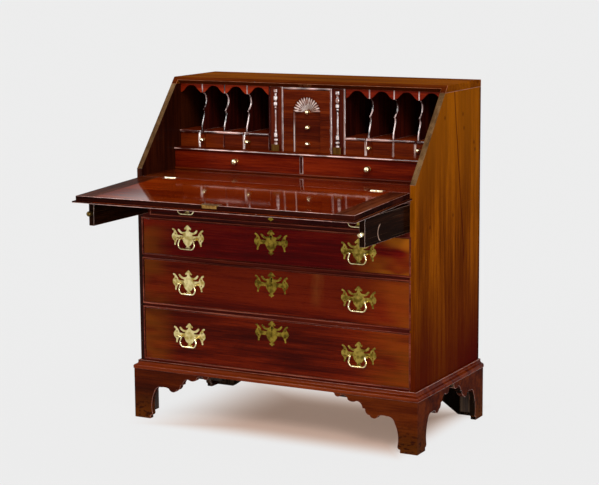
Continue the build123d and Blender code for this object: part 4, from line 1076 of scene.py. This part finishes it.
# %% Screws
def disc(bm, centre, radius, facing, up, slot=None):
    """A flat disc facing a direction, with an optional darker slot turned by an angle across it."""
    facing, up = Vector(facing).normalized(), Vector(up)
    side = up.cross(facing).normalized()
    up = facing.cross(side)
    pose = Matrix((side, up, facing)).transposed().to_4x4()
    pose.translation = Vector(centre)
    bmesh.ops.create_circle(bm, cap_ends=True, segments=20, radius=radius, matrix=pose)
    if slot is not None:
        lift = Matrix.Translation((0, 0, slot_lift))
        turn = Matrix.Rotation(slot, 4, "Z")
        size = Matrix.Diagonal((radius * slot_reach, radius * slot_width, 1, 1))
        made = bmesh.ops.create_grid(bm, x_segments=1, y_segments=1, size=1, matrix=pose @ lift @ turn @ size)
        for face in {f for v in made["verts"] for f in v.link_faces}:
            face.material_index = 1


def fitting(name, bm, materials, body):
    """Ends a set of small fittings and lets it ride."""
    piece = put(name, mesh_of(name, bm))
    for material in materials:
        piece.data.materials.append(material)
    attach(piece, body)
    print(name, len(piece.data.polygons), "faces")


slot_lift, skin_lift = 0.00006, 0.00012
slot_reach, slot_width = 0.94, 0.14
screw_x, screw_from_pin, screw_radius = (0.352, 0.367, 0.382), 0.0117, 0.0023
leaf_top, lid_droop = 0.803, math.radians(2.6)
screw_brass = brass("screw brass", (120, 98, 60), (204, 182, 134), seed=11)
# Painted shade for screw slots and keyholes.
finish = Finish(bpy.data.materials.new("dark hollow"))
hollow = finish.surface({"Base Color": tone(10, 5, 3), "Roughness": 0.8, "Specular IOR Level": 0.0})
case_screws, lid_screws = bmesh.new(), bmesh.new()
lid_leaf_top = leaf_top - screw_from_pin * math.tan(lid_droop)
lid_facing = (0, -math.sin(lid_droop), math.cos(lid_droop))
for number, x in enumerate([side * x for side in (-1, 1) for x in screw_x]):
    disc(case_screws, (x, front_plane + screw_from_pin, leaf_top + skin_lift), screw_radius, (0, 0, 1),
         (0, 1, 0), slot=1.3 * number)
    disc(lid_screws, (x, front_plane - screw_from_pin, lid_leaf_top + skin_lift), screw_radius, lid_facing,
         (0, 1, 0), slot=0.7 + 1.7 * number)
fitting("hinge_screws_case", case_screws, [screw_brass, hollow], "case")
fitting("hinge_screws_lid", lid_screws, [screw_brass, hollow], "lid")

# %% [markdown]
# ## Keyholes
# Behind each keyhole in a brass plate is the dark inside of the lock. The solid model has a hole in the
# plate but none in the wood. A dark disc with a bar below it, laid on the wood as painted shade, makes the
# hole look deep; a real hole would need the lock's works inside.

# %% Keyholes
keyhole_heights = {"bottom": 0.3460, "third": 0.5032, "second": 0.6376, "top": 0.7458}
keyhole_radius, key_slot, key_slot_drop = 0.0032, (0.0015, 0.0055), 0.0055
drawer_face = front_plane + 0.0008
for row in rows:
    holes = bmesh.new()
    y, z = drawer_face - skin_lift, keyhole_heights[row]
    disc(holes, (0, y, z), keyhole_radius, (0, -1, 0), (0, 0, 1))
    pose = Matrix.Translation((0, y, z - key_slot_drop)) @ Matrix.Rotation(math.pi / 2, 4, "X")
    bmesh.ops.create_grid(holes, x_segments=1, y_segments=1, size=1,
                          matrix=pose @ Matrix.Diagonal((*key_slot, 1, 1)))
    fitting(row + "_keyhole", holes, [hollow], row + "_drawer")

# %% End
print("done")
